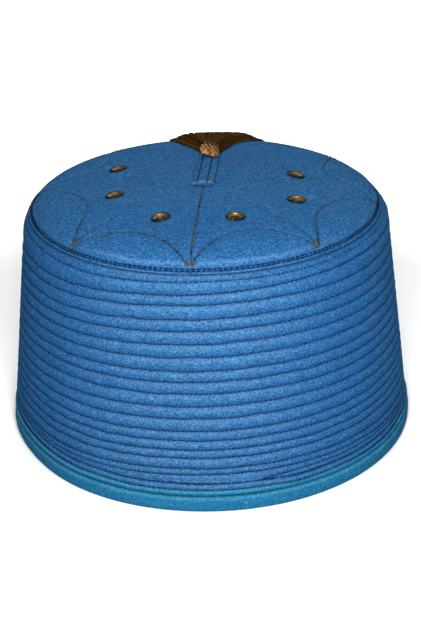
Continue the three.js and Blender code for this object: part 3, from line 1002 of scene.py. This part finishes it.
def rim_dent(angle, height):
    """How far the soft rim is pushed in at one place, less and less up the wall."""
    return bells(wrapped(angle), RIM_DENTS) * (1 - ease(*RIM_DENT_END, height))


def wall_reach(angle, height):
    """Reach of the wall's rib crests, with the slow swell of soft felt."""
    angle = wrapped(angle)
    fade = plateau(height, *WALL_SWELL_HEIGHTS)
    swell = WALL_SWELL * fade * wave(WALL_WAVES, angle, height)
    return wall_crest(height) + swell + side_fullness(angle, height) - rim_dent(angle, height)


def rib_relief(angle):
    """Share of the ribs' fullness, less at the sides than at the front."""
    return 1 - (1 - SIDE_RELIEF) * ease(*SIDE_RELIEF_ANGLES, np.abs(angle))


def rib_round(rise):
    """How far a rib's middle stands over its grooves, less where the ribs are narrow."""
    return RIB_ROUND * np.clip(rise / RIB_FULL, RIB_LEAST, 1)


def rib_band(i, rises, depths, humps, beside):
    """Heights over the groove below, drops from the crest, painted shade and painted highlight across one
    rib.
    """
    low, high = slice(i, i + 1), slice(i + 1, i + 2)
    rise = rises[:, low]
    shares = np.array(RIB_SHARES if high.start < rises.shape[1] else (*RIB_SHARES, 1))
    below = np.exp(-((shares * rise / GROOVE_WIDTH) ** GROOVE_BEND)) * depths[:, low]
    above = np.exp(-(((1 - shares) * rise / GROOVE_WIDTH) ** GROOVE_BEND)) * depths[:, high]
    under = np.maximum(1 - shares / RIB_CREST, 0) ** RIB_UNDER_BEND * humps[:, low]
    over = np.maximum((shares - RIB_CREST) / (1 - RIB_CREST), 0) ** RIB_OVER_BEND * humps[:, high]
    groove, underside, highlight_amount = (
        np.interp(beside, (0, 1), amounts) for amounts in (GROOVE_SHADE, UNDERSIDE_SHADE, RIB_HIGHLIGHT)
    )
    # Painted shade in the grooves and on the rib's underside, painted highlight on its top
    painted_shade_and_tone = groove * (below + above) ** GROOVE_SHADE_BEND
    painted_shade_and_tone = painted_shade_and_tone + underside * (1 - ease(*UNDERSIDE_SHARES, shares)) * depths[:, low]
    highlight_amount = highlight_amount * bell(shares - RIB_HIGHLIGHT_SHARE, RIB_HIGHLIGHT_WIDTH) * depths[:, high]
    return shares * rise, GROOVE_DEPTH * (below + above) + under + over, np.clip(painted_shade_and_tone, 0, 1), highlight_amount


def wall_grid():
    """Outer face of the wall, column by column, each from the foot up, its painted shade and its painted
    highlight.
    """
    angle = round_angles(WALL_COLUMNS, -180)
    heights, depths = wall_rows(angle)
    rises = np.diff(heights, axis=1)
    between = (rises[:, 1:] + rises[:, :-1]) / 2
    rounds = rib_round(np.concatenate([rises[:, :1], between, rises[:, -1:]], 1))
    humps = depths * rounds * rib_relief(angle)[:, None]
    beside = ease(*SHADE_ANGLES, np.abs(angle))[:, None]
    blank = np.zeros((WALL_COLUMNS, len(STRIP_HIGHLIGHT)))
    foot = np.tile(FOOT_HEIGHTS, (WALL_COLUMNS, 1))
    strip = np.concatenate([foot, heights[:, :1] - np.array(STRIP_DEPTHS)], 1)
    # The strip under the hem row: set in, with no painted shade and a little painted highlight
    bands = [(strip, blank + STRIP_SET_IN, blank, blank + STRIP_HIGHLIGHT)]
    for i in range(rises.shape[1]):
        over, *shaped = rib_band(i, rises, depths, humps, beside)
        bands.append((heights[:, i:i + 1] + over, *shaped))
    height, drop, painted_shade_and_tone, highlight_amount = (np.concatenate(band, 1) for band in zip(*bands))
    angle = angle[:, None]
    ripple = WALL_RIPPLE * wave(RIPPLE_WAVES, angle, height) * ease(*WALL_RIPPLE_START, height)
    reach = wall_reach(angle, height) - drop + ripple
    return settle(turned(angle, reach, height)), height, painted_shade_and_tone, highlight_amount


def zip_columns(left, right, left_heights, right_heights):
    """Triangles between two columns of points that need not match row by row."""
    faces = []
    i = 0
    j = 0
    while i + 1 < len(left) or j + 1 < len(right):
        if j + 1 == len(right) or (i + 1 < len(left) and left_heights[i + 1] <= right_heights[j + 1]):
            faces.append([left[i], right[j], left[i + 1]])
            i += 1
        else:
            faces.append([left[i], right[j], right[j + 1]])
            j += 1
    return faces


def add_wall():
    outer, height, painted_shade_and_tone, highlight_amount = wall_grid()
    columns, rows = height.shape
    angle = round_angles(columns, -180)
    grid = grid_rows(columns, rows)
    corner = grid[:-1, :-1].ravel()
    faces = np.stack([corner, corner + rows, corner + rows + 1, corner + 1], -1).tolist()
    faces += zip_columns(grid[-1], grid[0], height[-1], height[0])
    inner_reach = wall_crest(INNER_HEIGHTS) - WALL_THICKNESS - rim_dent(angle, INNER_HEIGHTS)
    inner = settle(turned(angle, inner_reach, INNER_HEIGHTS))
    inside = grid_rows(len(INNER_HEIGHTS), columns, grid.size)
    faces += ring_faces([grid[:, -1], *inside, grid[:, 0]])
    points = np.concatenate([outer.reshape(-1, 3), inner.reshape(-1, 3)])
    wall = new_piece("side_wall_quilted", points, faces, BLUE_FELT, "blue_felt", ["side_wall"])
    # Painted shade deepening the wall's sides
    deep_tint_and_painted_shade = np.repeat(WALL_SIDE_SHADE * plateau(np.abs(angle), *WALL_SIDE_SHADE_ANGLES), rows)
    # Stores the ribs' painted shade and painted highlight, and the painted side shade
    for name, values in (("painted_shade_and_tone", painted_shade_and_tone), ("painted_highlight", highlight_amount), ("deep_tint_and_painted_shade", deep_tint_and_painted_shade)):
        set_shade(wall, np.concatenate([values.ravel(), np.zeros(inside.size)]), name)


def row_stitches(travelled, heights, sunk, pitch, length, radius):
    """Stitches along a row of the wall, sunk so far below the rib crests."""
    path = settle(turned(travelled, wall_reach(travelled, heights) - sunk, heights))
    places, along = spaced(path, pitch)
    out = unit(outward(places) + ROW_TILT * UP)
    places = places + ROW_JITTER * random.standard_normal((len(places), 1)) * UP
    return stitches(places, along, out, length, radius, STITCH_SIDES)


def add_wall_stitches():
    spiral = np.arange(*SPIRAL_ROW, ROW_STEP)
    around = np.arange(-180, 180 + ROW_STEP / 2, ROW_STEP)
    heights = spiral_height(spiral)
    ribs = rib_round(np.interp(heights, TURN_HEIGHTS, np.gradient(TURN_HEIGHTS)))
    sunk = GROOVE_DEPTH + ribs * rib_relief(wrapped(spiral)) - SPIRAL_PROUD
    rows = [row_stitches(spiral, heights, sunk, **SPIRAL_STITCH)]
    rows.append(row_stitches(around, top_row(around), TOP_ROW_SUNK, **SPIRAL_STITCH))
    new_piece("wall_stitches", *join_parts(rows), THREADS["navy"])
    black = np.arange(*BLACK_ROW, ROW_STEP)
    row = row_stitches(black, hem_row(black), HEM_ROW_SUNK, **BLACK_STITCH)
    new_piece("hem_row_stitches", *row, THREADS["black"])
    rows = [row_stitches(around, LIP_HEIGHT - LIP_DROP * hem_drop(around), LIP_ROW_SUNK, **LIP_STITCH)]
    for ends in HEM_ROWS:
        rest = np.arange(*ends, ROW_STEP)
        rows.append(row_stitches(rest, hem_row(rest), HEM_ROW_SUNK, **HEM_STITCH))
    new_piece("hem_edge_stitches", *join_parts(rows), THREADS["navy"])


# Crown

def petal_path(start, end, apex, sharpness):
    """One petal's arc from cusp to cusp, as plan points."""
    t = np.linspace(-1, 1, PETAL_STEPS)
    reach = apex + (CUSP_REACH - apex) * np.abs(t) ** sharpness
    return plan_at(start + (end - start) * (t + 1) / 2, reach)


def crown_lines():
    """Every sewn line on the crown, as plan points."""
    petals = [petal_path(*petal[:4]) for petal in PETALS]
    radials = [
        plan_at(angle, np.linspace(CUSP_REACH, inner, RADIAL_STEPS)) for angle, inner, *_ in RADIALS
    ]
    return petals + radials


def tree_of(plan):
    """A search tree over plan points."""
    tree = KDTree(len(plan))
    for i, (x, y) in enumerate(plan):
        tree.insert((x, y, 0), i)
    tree.balance()
    return tree


def distances(plan, tree):
    """Distance of each plan point to the nearest point of a tree."""
    return np.array([tree.find((x, y, 0))[2] for x, y in plan])


def clear_of(plan, others, gap):
    """The plan points that keep a gap to other points."""
    return plan[distances(plan, tree_of(others)) > gap]


def thinned(plan, gap):
    """The plan points without those that lie too near to an earlier one."""
    tree = tree_of(plan)
    taken = np.zeros(len(plan), bool)
    kept = []
    for i, (x, y) in enumerate(plan):
        if not taken[i]:
            kept.append(i)
            taken[[j for _, j, _ in tree.find_range((x, y, 0), gap)]] = True
    return plan[kept]


def off_holes(plan):
    """Which plan points lie outside every eyelet hole."""
    return (norm(plan[:, None] - EYELET_CENTRES) > EYELET_HOLE).all(1)


def lattice(spacing, limit):
    """Plan points of a triangular lattice inside a circle."""
    count = int(2 * limit / spacing) + 2
    i, j = np.meshgrid(np.arange(-count, count), np.arange(-count, count))
    x = (i + 0.5 * (j % 2)) * spacing
    y = j * spacing * math.sqrt(3) / 2
    plan = np.stack([x.ravel(), y.ravel()], -1)
    return plan[norm(plan) < limit]


def circle(centre, radius, count):
    return centre + plan_at(round_angles(count), radius)


def hole_rims():
    return [circle(centre, EYELET_HOLE, EYELET_HOLE_SIDES) for centre in EYELET_CENTRES]


def plan_mesh(rims, inside):
    """Triangles over plan points, whose first ones are the rims, with the eyelet holes left open."""
    plan = np.concatenate([*rims, inside])
    made = delaunay_2d_cdt([Vector(p) for p in plan], [], [], 0, SHEET_WELD)
    points = np.array([tuple(p) for p in made[0]])
    corners = np.array(made[2])
    return points, corners[off_holes(points[corners].mean(1))]


def crown_dents(plan, tree):
    """How far the stitching and the eyelets pull the crown down, and the painted shade along the sewn lines.
    """
    far = distances(plan, tree)
    drop = LINE_DEPTH * bell(far, LINE_WIDTH)
    for centre, slope in zip(EYELET_CENTRES, EYELET_SLOPES):
        away = np.maximum(norm(plan - centre) - EYELET_FLANGE, 0)
        drop += EYELET_DENT * bell(away, EYELET_DENT_SPREAD)
        drop += (plan - centre) @ slope * bell(away, EYELET_LEAN_SPREAD)
    for start, *_ in PETALS:
        away = norm(plan - plan_at(start, CUSP_REACH))
        drop += CUSP_DENT * bell(away, CUSP_SPREAD)
    return drop, LINE_SHADE * bell(far, LINE_SHADE_WIDTH)


def crown_surface(plan, drop=0):
    """Points of the crown's upper face over plan points."""
    reach = norm(plan)
    angle = np.degrees(np.arctan2(plan[:, 0], -plan[:, 1]))
    fade = plateau(reach, *CROWN_SWELL_REACHES)
    height = crown_height(reach) + CROWN_SWELL * fade * wave(CROWN_WAVES, angle, reach) - drop
    return settle(np.column_stack([plan, height]))


def crown_normals(places):
    """Directions out of the crown at settled points."""
    plan = plan_of(places)
    reach = norm(plan)
    step = 0.2
    slope = (crown_height(reach + step) - crown_height(reach - step)) / (2 * step)
    return unit(np.column_stack([-slope[:, None] * unit(plan), np.ones_like(slope)]))


def sewn_points():
    """Plan points along and beside every sewn line, which hold its groove."""
    bands = []
    for line in crown_lines():
        even = resample(line, SEWN_STEP)
        along = unit(np.gradient(even, axis=0))
        across = np.stack([-along[:, 1], along[:, 0]], -1)
        bands += [even + offset * across for offset in SEWN_OFFSETS]
    sewn = np.concatenate(bands)
    return sewn[norm(sewn) < SHEET_REACH - SEWN_MARGIN]


def crown_sheet(tree):
    """The crown inside its shoulder: points, triangles and painted shade. The rim's points come first."""
    rims = [circle(np.zeros(2), SHEET_REACH, CROWN_COLUMNS), *hole_rims()]
    collars = [
        circle(centre, radius, COLLAR_SIDES) for centre in EYELET_CENTRES for radius in COLLAR_RADII
    ]
    fixed = np.concatenate(rims + collars)
    sewn = thinned(clear_of(sewn_points(), fixed, COLLAR_GAP), SEWN_GAP)
    field = lattice(SHEET_SPACING, SHEET_REACH - SHEET_MARGIN)
    field = clear_of(field, np.concatenate([fixed, sewn]), SHEET_GAP)
    plan, corners = plan_mesh(rims, np.concatenate([*collars, sewn, field[off_holes(field)]]))
    drop, painted_shade_and_tone = crown_dents(plan, tree)
    return crown_surface(plan, drop), corners.tolist(), painted_shade_and_tone


def crown_edge_profile():
    """Reach and height from the edge of the sheet over the shoulder and under to the seam."""
    start, end = np.searchsorted(CROWN_CURVE[:, 0], (SHEET_REACH, SHOULDER_REACH))
    first = (SHEET_REACH, crown_height(SHEET_REACH))
    shoulder = np.concatenate([[first], CROWN_CURVE[start:end]])
    return np.concatenate([even_points(shoulder, SHOULDER_ROWS), CROWN_LIP])


def crown_edge(tree):
    """Shoulder, rolled edge and seam face in rows round the crown, and their painted shade."""
    profile = crown_edge_profile()
    slope = unit(np.gradient(profile, axis=0))[1:]
    around = round_angles(CROWN_COLUMNS)
    reach, height = (np.repeat(values[1:, None], CROWN_COLUMNS, 1) for values in profile.T)
    pull = sum(
        bell(np.hypot(reach - row, height - crown_height(row)), TOPSTITCH_WIDTH)
        for row in TOPSTITCH_REACHES
    )
    pull = pull * (1 + TOPSTITCH_PUCKER * np.sin(np.radians(around) * TOPSTITCHES))
    sewn, painted_shade_and_tone = (
        values.reshape(reach.shape) for values in crown_dents(plan_at(around, reach).reshape(-1, 2), tree)
    )
    row = np.arange(len(reach))[:, None]
    fade = plateau(row, *SHOULDER_SWELL_ROWS)
    inward = (sewn + TOPSTITCH_DEPTH * pull) * (row < SHOULDER_ROWS - 1)
    inward = inward - SHOULDER_SWELL * wave(HEM_WAVES, around, 0) * fade
    # Painted shade along the top stitching and down in the seam
    seam = SEAM_SHADE + bells(wrapped(around), SEAM_SHADES)
    painted_shade_and_tone = painted_shade_and_tone + TOPSTITCH_SHADE * np.clip(pull, 0, 1) + seam * ease(*SEAM_SHADE_HEIGHTS, height)
    moved = turned(around, reach + inward * slope[:, 1:], height - inward * slope[:, :1])
    return settle(moved), np.clip(painted_shade_and_tone, 0, 1)


def crown_underside():
    """Points and triangles under the crown. The points where it meets the seam face come first."""
    holes = hole_rims()
    field = clear_of(lattice(UNDER_SPACING, UNDER_REACH), np.concatenate(holes), UNDER_GAP)
    rim = circle(np.zeros(2), CROWN_LIP[-1][0], CROWN_COLUMNS)
    plan, corners = plan_mesh([rim, *holes], field[off_holes(field)])
    return crown_surface(plan) - CROWN_THICKNESS * UP, corners


def add_crown():
    tree = tree_of(np.concatenate([resample(line, LINE_STEP) for line in crown_lines()]))
    sheet, faces, painted_shade_and_tone = crown_sheet(tree)
    edge, edge_painted_shade = crown_edge(tree)
    under, under_corners = crown_underside()
    rows = grid_rows(*edge.shape[:2], len(sheet))
    faces += ring_faces([*rows[::-1], np.arange(CROWN_COLUMNS)])
    below = np.arange(len(under)) + len(sheet) + rows.size - CROWN_COLUMNS
    below[:CROWN_COLUMNS] = rows[-1]
    faces += below[under_corners][:, ::-1].tolist()
    for rim in grid_rows(len(EYELETS), EYELET_HOLE_SIDES, CROWN_COLUMNS):
        faces += ring_faces([rim, below[rim]])
    points = np.concatenate([sheet, edge.reshape(-1, 3), under[CROWN_COLUMNS:]])
    crown = new_piece("crown_stitched", points, faces, BLUE_FELT, "blue_felt", ["crown"])
    plain = np.zeros(len(under) - CROWN_COLUMNS)
    # Painted shade along the sewn lines, the top stitching and the seam
    set_shade(crown, np.concatenate([painted_shade_and_tone, edge_painted_shade.ravel(), plain]))
    # Deeper blue towards the crown's front
    set_shade(crown, CROWN_DEEP_TINT * ease(*CROWN_DEEP_TINT_FRONT, -points[:, 1]), "deep_tint_and_painted_shade")
    # Painted highlight round the crown's edge, less at the sides
    highlight_amount = bells(norm(plan_of(points)), CROWN_HIGHLIGHTS) * (points[:, 2] > CROWN_HIGHLIGHT_LOWEST)
    angle = np.degrees(np.abs(np.arctan2(points[:, 0], -points[:, 1])))
    set_shade(crown, highlight_amount * (1 - CROWN_HIGHLIGHT_LOST * ease(*CROWN_HIGHLIGHT_SIDES, angle)), "painted_highlight")


def add_petal_stitches():
    """Petals and straight lines, dark and olive stitches mixed."""
    parts = []
    darks = []
    fades = []
    per_stitch = len(STITCH_SHARES) * ROUND_SIDES
    threads = [petal[4:] for petal in PETALS] + [radial[2:] for radial in RADIALS]
    for line, shares in zip(crown_lines(), threads):
        path = crown_surface(resample(line, PETAL_PATH_STEP), LINE_DEPTH)
        parts.append(sew(path, crown_normals, **PETAL_STITCH))
        count = len(parts[-1][0]) // per_stitch
        dark = random.random(count) < np.linspace(*shares[:2], count)
        darks.append(np.repeat(dark * random.uniform(*PETAL_TONES, count), per_stitch))
        fade = np.linspace(*shares[2:], count) + random.normal(0, PETAL_FADE_SPREAD, count)
        fades.append(np.repeat(np.clip(fade, 0, 1), per_stitch))
    piece = new_piece("petal_stitches", *join_parts(parts), THREADS["olive"])
    set_shade(piece, np.concatenate(darks))
    set_shade(piece, np.concatenate(fades), "fade")


def add_knots():
    parts = []
    for angle, reach, length, lean in KNOTS:
        outer = plan_at(angle, reach)
        inner = plan_at(angle + np.degrees(lean * length / reach), reach - length)
        ends = crown_surface(np.stack([outer, inner]), LINE_DEPTH)
        parts.append(tack(ends, crown_normals, norm(ends[1] - ends[0]), **KNOT))
    new_piece("crown_knots", *join_parts(parts), THREADS["knot"])


def add_top_stitches():
    """Two rows round the crown's edge."""
    around = np.arange(0, 360 + ROW_STEP / 2, ROW_STEP)
    paths = [settle(turned(around, reach, crown_height(reach))) for reach in TOPSTITCH_REACHES]
    parts = [sew(path, crown_normals, **TOP_STITCH) for path in paths]
    new_piece("top_stitches", *join_parts(parts), THREADS["seam"])


# Rim binding

def add_binding():
    around = round_angles(BINDING_COLUMNS)
    reach, height = (np.repeat(row[:, None], BINDING_COLUMNS, 1) for row in np.transpose(BINDING_PROFILE))
    outer = reach > OUTER_HALF
    waver = LIP_WAVER * wave(HEM_WAVES, around, 0) - LIP_DROP * hem_drop(around)
    lowered = LIP_LOWERED * ease(*LIP_LOWERED_START, height)
    height = height + outer * (ease(*LIP_START, height) * waver - lowered)
    groove = bell(height - BINDING_ROW_HEIGHT, BINDING_ROW_WIDTH) * (reach > OUTER_FACE)
    reach = reach - BINDING_PUCKER * groove * np.sin(np.radians(around) * BINDING_PUCKERS)
    ripple = wave(RIPPLE_WAVES, around, height) * ease(*BINDING_RIPPLE_START, height)
    reach = reach + BINDING_RIPPLE * ripple * (reach > OUTER_SKIN)
    points = settle(turned(around, reach - rim_dent(around, 0), height))
    faces = swept_faces(*reach.shape)
    binding = new_piece("rim_binding_felt", points, faces, TEAL_FELT, "teal_felt", ["rim_binding"])
    # Painted shade in the sewn groove, and painted highlights along the fold
    set_shade(binding, BINDING_ROW_SHADE * groove)
    set_shade(binding, bells(height, BINDING_HIGHLIGHTS) * (reach > OUTER_FACE), "painted_highlight")


def add_binding_stitches():
    around = np.arange(0, 360 + ROW_STEP / 2, ROW_STEP)
    path = settle(turned(around, BINDING_ROW_REACH - rim_dent(around, 0), BINDING_ROW_HEIGHT))
    new_piece("binding_stitches", *sew(path, outward, **BINDING_STITCH), THREADS["teal"])


# Eyelets

def add_eyelets():
    reach, height = np.transpose(EYELET_PROFILE)[:, :, None]
    turn = np.radians(round_angles(EYELET_SEGMENTS))[:, None]
    faces = swept_faces(len(reach), EYELET_SEGMENTS)
    patina = ease(*FLANGE_PATINA, reach) + BORE_PATINA_AMOUNT * ease(*BORE_PATINA, reach)
    for number, (plan, slope) in enumerate(zip(EYELET_CENTRES, EYELET_SLOPES), 1):
        centre = crown_surface(plan[None], EYELET_DENT)
        up = unit(crown_normals(centre)[0] + (*slope, 0))
        side = unit(np.cross(up, (0, 1, 0)))
        ring = np.cos(turn) * side + np.sin(turn) * np.cross(up, side)
        points = centre + reach[..., None] * ring + (height[..., None] + EYELET_LIFT) * up
        eyelet = new_piece(
            f"eyelet_{number}_brass", points, faces, BRASS, "antique_brass", [f"eyelet_{number}"],
        )
        set_shade(eyelet, np.repeat(patina, EYELET_SEGMENTS))


# Tab

def tab_section():
    """The strip's cross-section with its two sewn grooves: offset from its middle, lift over the crown."""
    left_edge = np.array(TAB_EDGE)[::-1] * (-1, 1)
    left_groove, right_groove = (np.array(TAB_GROOVE) + (x, 0) for x in TAB_STITCH_X)
    return np.concatenate([[TAB_UNDER], TAB_EDGE, right_groove, [TAB_MIDDLE], left_groove, left_edge])


def on_tab(x, y, lift):
    """Places on the strip that lies over the middle of the crown."""
    x, y, lift = np.broadcast_arrays(x, y, lift)
    return settle(np.stack([x, y, crown_height(np.hypot(x, y)) + lift], -1))


def add_tab():
    across, lift = tab_section().T
    back = np.concatenate([np.add(TAB_FRONT, TAB_FRONT_STEPS), np.arange(TAB_FRONT + 1, TAB_BACK, TAB_STEP)])
    from_front = back[:, None] - TAB_FRONT
    upper = lift > TAB_UPPER_HALF
    rounded = TAB_FRONT_ROUND * (1 - np.clip(from_front / TAB_FRONT_STEPS[-1], 0, 1)) ** 2 * upper
    points = on_tab(across, back[:, None], lift) - rounded[..., None] * UP
    rows = grid_rows(len(back), len(across))
    faces = ring_faces(rows[::-1]) + [rows[0].tolist(), rows[-1, ::-1].tolist()]
    tab = new_piece("tassel_tab_felt", points, faces, BLUE_FELT, "blue_felt", ["tassel_tab"])
    # Painted shade in the sewn grooves, and a pale cut front edge that is partly painted highlight
    groove = sum(bell(across - x, TAB_STITCH_WIDTH) for x in TAB_STITCH_X) * upper
    set_shade(tab, np.tile(TAB_STITCH_SHADE * groove, len(back)))
    frayed = (lift > FRAY_LOWEST) * (FRAY_MEAN + FRAY_WAVE * np.sin(FRAY_RATE * across + 1))
    set_shade(tab, FRAY * bell(from_front, FRAY_WIDTH) * frayed, "painted_highlight")


def add_tab_stitches():
    """Two rows along the tab, one ending in a brown bar, and a few brown tacks at the front."""
    way = np.linspace(*TAB_ROW_ENDS, TAB_ROW_STEPS)
    rows = [sew(on_tab(x, way, TAB_STITCH_LIFT), upward, **TAB_STITCH) for x in TAB_STITCH_X]
    new_piece("tab_stitches", *join_parts(rows), THREADS["navy"])
    bar = on_tab(TAB_STITCH_X[1], np.linspace(*TAB_BAR_ENDS, TAB_BAR_STEPS), TAB_STITCH_LIFT)
    parts = [sew(bar, upward, **TAB_BAR)]
    for x, y, lean in TAB_TACKS:
        backs = [y + TAB_TACK_HALF, y - TAB_TACK_HALF]
        parts.append(tack(on_tab([x - lean, x + lean], backs, TAB_STITCH_LIFT), upward, **TAB_TACK))
    new_piece("tab_tacks", *join_parts(parts), THREADS["knot"])


# Tassel

def neck_frame():
    """Start of the tassel's neck, and its directions along, to the side and outwards."""
    x, y, lift = WRAP_BASE
    base = settle(np.array([x, y, crown_height(y) + lift]))
    axis = unit(WRAP_AXIS)
    side = unit(WRAP_SIDE - axis * np.dot(WRAP_SIDE, axis))
    return base, axis, side, np.cross(side, axis)


def wound_cord():
    """Plies of the cord that is wound round the neck, and the cord's middle line."""
    base, axis, side, up = neck_frame()
    turn = np.linspace(0, 2 * math.pi * WRAP_TURNS, WRAP_STEPS)[:, None]
    narrowed = 1 - WRAP_TAPER * ease(WRAP_TAPER_START, 1, turn / turn[-1])
    across = (WRAP_HALF_WIDTH - WRAP_CORD / 2) * narrowed
    deep = (WRAP_HALF_DEPTH - WRAP_CORD / 2) * narrowed
    path = base + axis * WRAP_CORD * turn / (2 * math.pi)
    path = path + across * np.sin(turn) * side + deep * np.cos(turn) * up
    along = unit(np.gradient(path, axis=0))
    out = deep * np.sin(turn) * side + across * np.cos(turn) * up
    out = unit(out - along * np.sum(out * along, 1, keepdims=True))
    beside = np.cross(along, out)
    plies = []
    for ply in range(PLIES):
        twist = 2 * math.pi * (travel_along(path) / PLY_PITCH + ply / PLIES)[:, None]
        plies.append(path + PLY_REACH * (np.cos(twist) * out + np.sin(twist) * beside))
    return np.stack(plies), path


def neck_cords():
    """Cords that run up inside the winding and close its lower end."""
    base, axis, side, up = neck_frame()
    steps = np.linspace(*NECK_CORD_ENDS, NECK_CORD_STEPS)[:, None]
    return np.stack([base + across * side + deep * up + steps * axis for across, deep in NECK_CORDS])


def add_wrap():
    plies, path = wound_cord()
    cords = neck_cords()
    side = neck_frame()[2]
    wound = tubes(plies, np.full(plies.shape[:2], PLY_RADIUS), WRAP_SIDES)
    inner = tubes(cords, np.full(cords.shape[:2], NECK_CORD_RADIUS), WRAP_SIDES, side)
    wrap = new_piece("tassel_wrap_cord", *join_parts([wound, inner]), GOLD, "gold_cord", ["tassel_wrap"])
    # Painted shade in the creases between the plies, and more of it on the upper turns
    from_middle = wound[0].reshape(PLIES, len(path), WRAP_SIDES, 3) - path[:, None]
    out = norm(from_middle) / (PLY_REACH + PLY_RADIUS)
    upper = UPPER_SHADE * ease(*UPPER_SHADE_START, np.linspace(0, 1, len(path)))
    shade = np.clip(1 - ease(*PLY_CREASE, out) + upper[:, None], 0, 1)
    set_shade(wrap, np.concatenate([shade.ravel(), np.zeros(len(inner[0]))]))


def back_curve():
    """Reach and height along the crown from the neck, over the shoulder and down the wall."""
    over = CROWN_CURVE[CROWN_CURVE[:, 0] > SKIRT_START][::SKIRT_CURVE_SKIP]
    down = np.stack([wall_crest(SKIRT_WALL_HEIGHTS), SKIRT_WALL_HEIGHTS], -1)
    return smooth_curve(np.concatenate([over, down]), CURVE_POINTS)


def fan_paths(along, side, depth):
    """Where strands lie on the crown and the wall: side from -1 to 1, depth from 0 to 1."""
    curve = back_curve()
    travel = travel_along(curve)
    rows, *sizes = SKIRT_ROWS.T
    left, right, thickness, standoff = (np.interp(along, rows, size) for size in sizes)
    thin = 1 - SKIRT_THINNED * ease(*SKIRT_THIN_EDGE, np.abs(side))
    hugging = ease(*SKIRT_HUG_EDGE, np.abs(side))
    low = STRAND_RADIUS + (standoff - thickness / 2) * (1 - hugging) + SKIRT_HUG_GAP * hugging
    lift = low + depth * (thickness - 2 * STRAND_RADIUS) * thin
    base = points_at(along, travel, curve)
    tangent = points_at(along, travel, unit(np.gradient(curve, axis=0)))
    reach = base[..., 0] - tangent[..., 1] * lift
    height = base[..., 1] + tangent[..., 0] * lift
    half_width = np.where(side < 0, left, right)
    turn = np.degrees(np.arcsin(np.clip(side * half_width / reach, -1, 1)))
    return settle(turned(180 - turn, reach, height))


def strand_paths():
    """Ways of all the tassel's strands, out of the neck and over the back, and the travel at each step."""
    side = (2 * (np.arange(STRANDS) + random.random(STRANDS)) / STRANDS - 1)[:, None]
    side = side + STRAND_CLUMP * np.sin(side * STRAND_CLUMPS)
    depth = random.random((STRANDS, 1))
    reached = SKIRT_LENGTH - SKIRT_UNEVEN * random.random((STRANDS, 1)) ** 2
    along = reached * np.linspace(0, 1, STRAND_STEPS) ** STRAND_SPACING
    drift = sum(
        amount * np.sin(along * rate + random.uniform(*STRAND_PHASES, (STRANDS, 1)))
        for amount, rate in STRAND_DRIFTS
    )
    drift = drift * ease(*STRAND_DRIFT_START, along)
    fan = fan_paths(along, np.clip(side + drift, -1, 1), depth)
    base, axis, beside, up = neck_frame()
    across = (WRAP_HALF_WIDTH - WRAP_CORD - STRAND_RADIUS) * np.sin(side * math.pi / 2)
    deep = (WRAP_HALF_DEPTH - WRAP_CORD - STRAND_RADIUS) * np.cos(side * math.pi / 2) * (2 * depth - 1)
    neck = base + (across * beside + deep * up)[:, None] + (along + 1)[..., None] * axis
    start, end = (
        at - sooner * np.abs(side) for at, sooner in zip(SKIRT_LEAVES_NECK, SKIRT_LEAVES_SOONER)
    )
    return neck + (fan - neck) * ease(start, end, along)[..., None], along


def add_skirt():
    paths, along = strand_paths()
    radii = STRAND_RADIUS * np.interp(along, *STRAND_GIRTHS)
    points, faces = tubes(paths, radii, STRAND_SIDES)
    skirt = new_piece("tassel_skirt_yarn", points, faces, YARN, "brown_yarn", ["tassel_skirt"])
    set_shade(skirt, np.repeat(random.random(STRANDS) ** 2, STRAND_STEPS * STRAND_SIDES))


# Stage, light and camera

def add_floor():
    mesh = bpy.data.meshes.new("floor")
    corners = [(x * FLOOR_HALF, y * FLOOR_HALF, 0) for x, y in ((-1, -1), (1, -1), (1, 1), (-1, 1))]
    mesh.from_pydata(corners, [], [[0, 1, 2, 3]])
    mesh.materials.append(floor_paper())
    link_object("floor", mesh)


def add_light():
    for name, (shape, power, size, spread, place, aim) in LAMPS.items():
        light = bpy.data.lights.new(name, "AREA")
        light.shape = shape
        light.size = size
        light.energy = power
        light.spread = math.radians(spread)
        lamp = link_object(name, light)
        lamp.location = place
        lamp.rotation_mode = "QUATERNION"
        lamp.rotation_quaternion = (Vector(place) - Vector(aim)).to_track_quat("Z", "Y")
        lamp.visible_camera = False
    world = bpy.data.worlds.new("studio")
    world.use_nodes = True
    background = world.node_tree.nodes["Background"]
    background.inputs["Color"].default_value = (1, 1, 1, 1)
    background.inputs["Strength"].default_value = WORLD_STRENGTH
    bpy.context.scene.world = world
    bpy.context.scene.view_settings.view_transform = "Standard"


def add_camera():
    data = bpy.data.cameras.new("camera")
    data.lens = CAMERA_LENS
    data.sensor_width = SENSOR
    camera = link_object("camera", data)
    turn = Matrix.Rotation(math.radians(CAMERA_AZIMUTH), 4, "Z")
    yaw = Matrix.Rotation(math.radians(-CAMERA_YAW), 4, "Z")
    pitch = Matrix.Rotation(math.radians(90 - CAMERA_PITCH), 4, "X")
    roll = Matrix.Rotation(math.radians(CAMERA_ROLL), 4, "Z")
    place = Matrix.Translation(Vector((0, -CAMERA_DISTANCE, CAMERA_HEIGHT)) * MM)
    camera.matrix_world = turn @ place @ yaw @ pitch @ roll
    bpy.context.scene.camera = camera


add_camera()
add_light()
add_floor()
add_wall()
add_wall_stitches()
add_crown()
add_petal_stitches()
add_knots()
add_top_stitches()
add_binding()
add_binding_stitches()
add_eyelets()
add_tab()
add_tab_stitches()
add_wrap()
add_skirt()
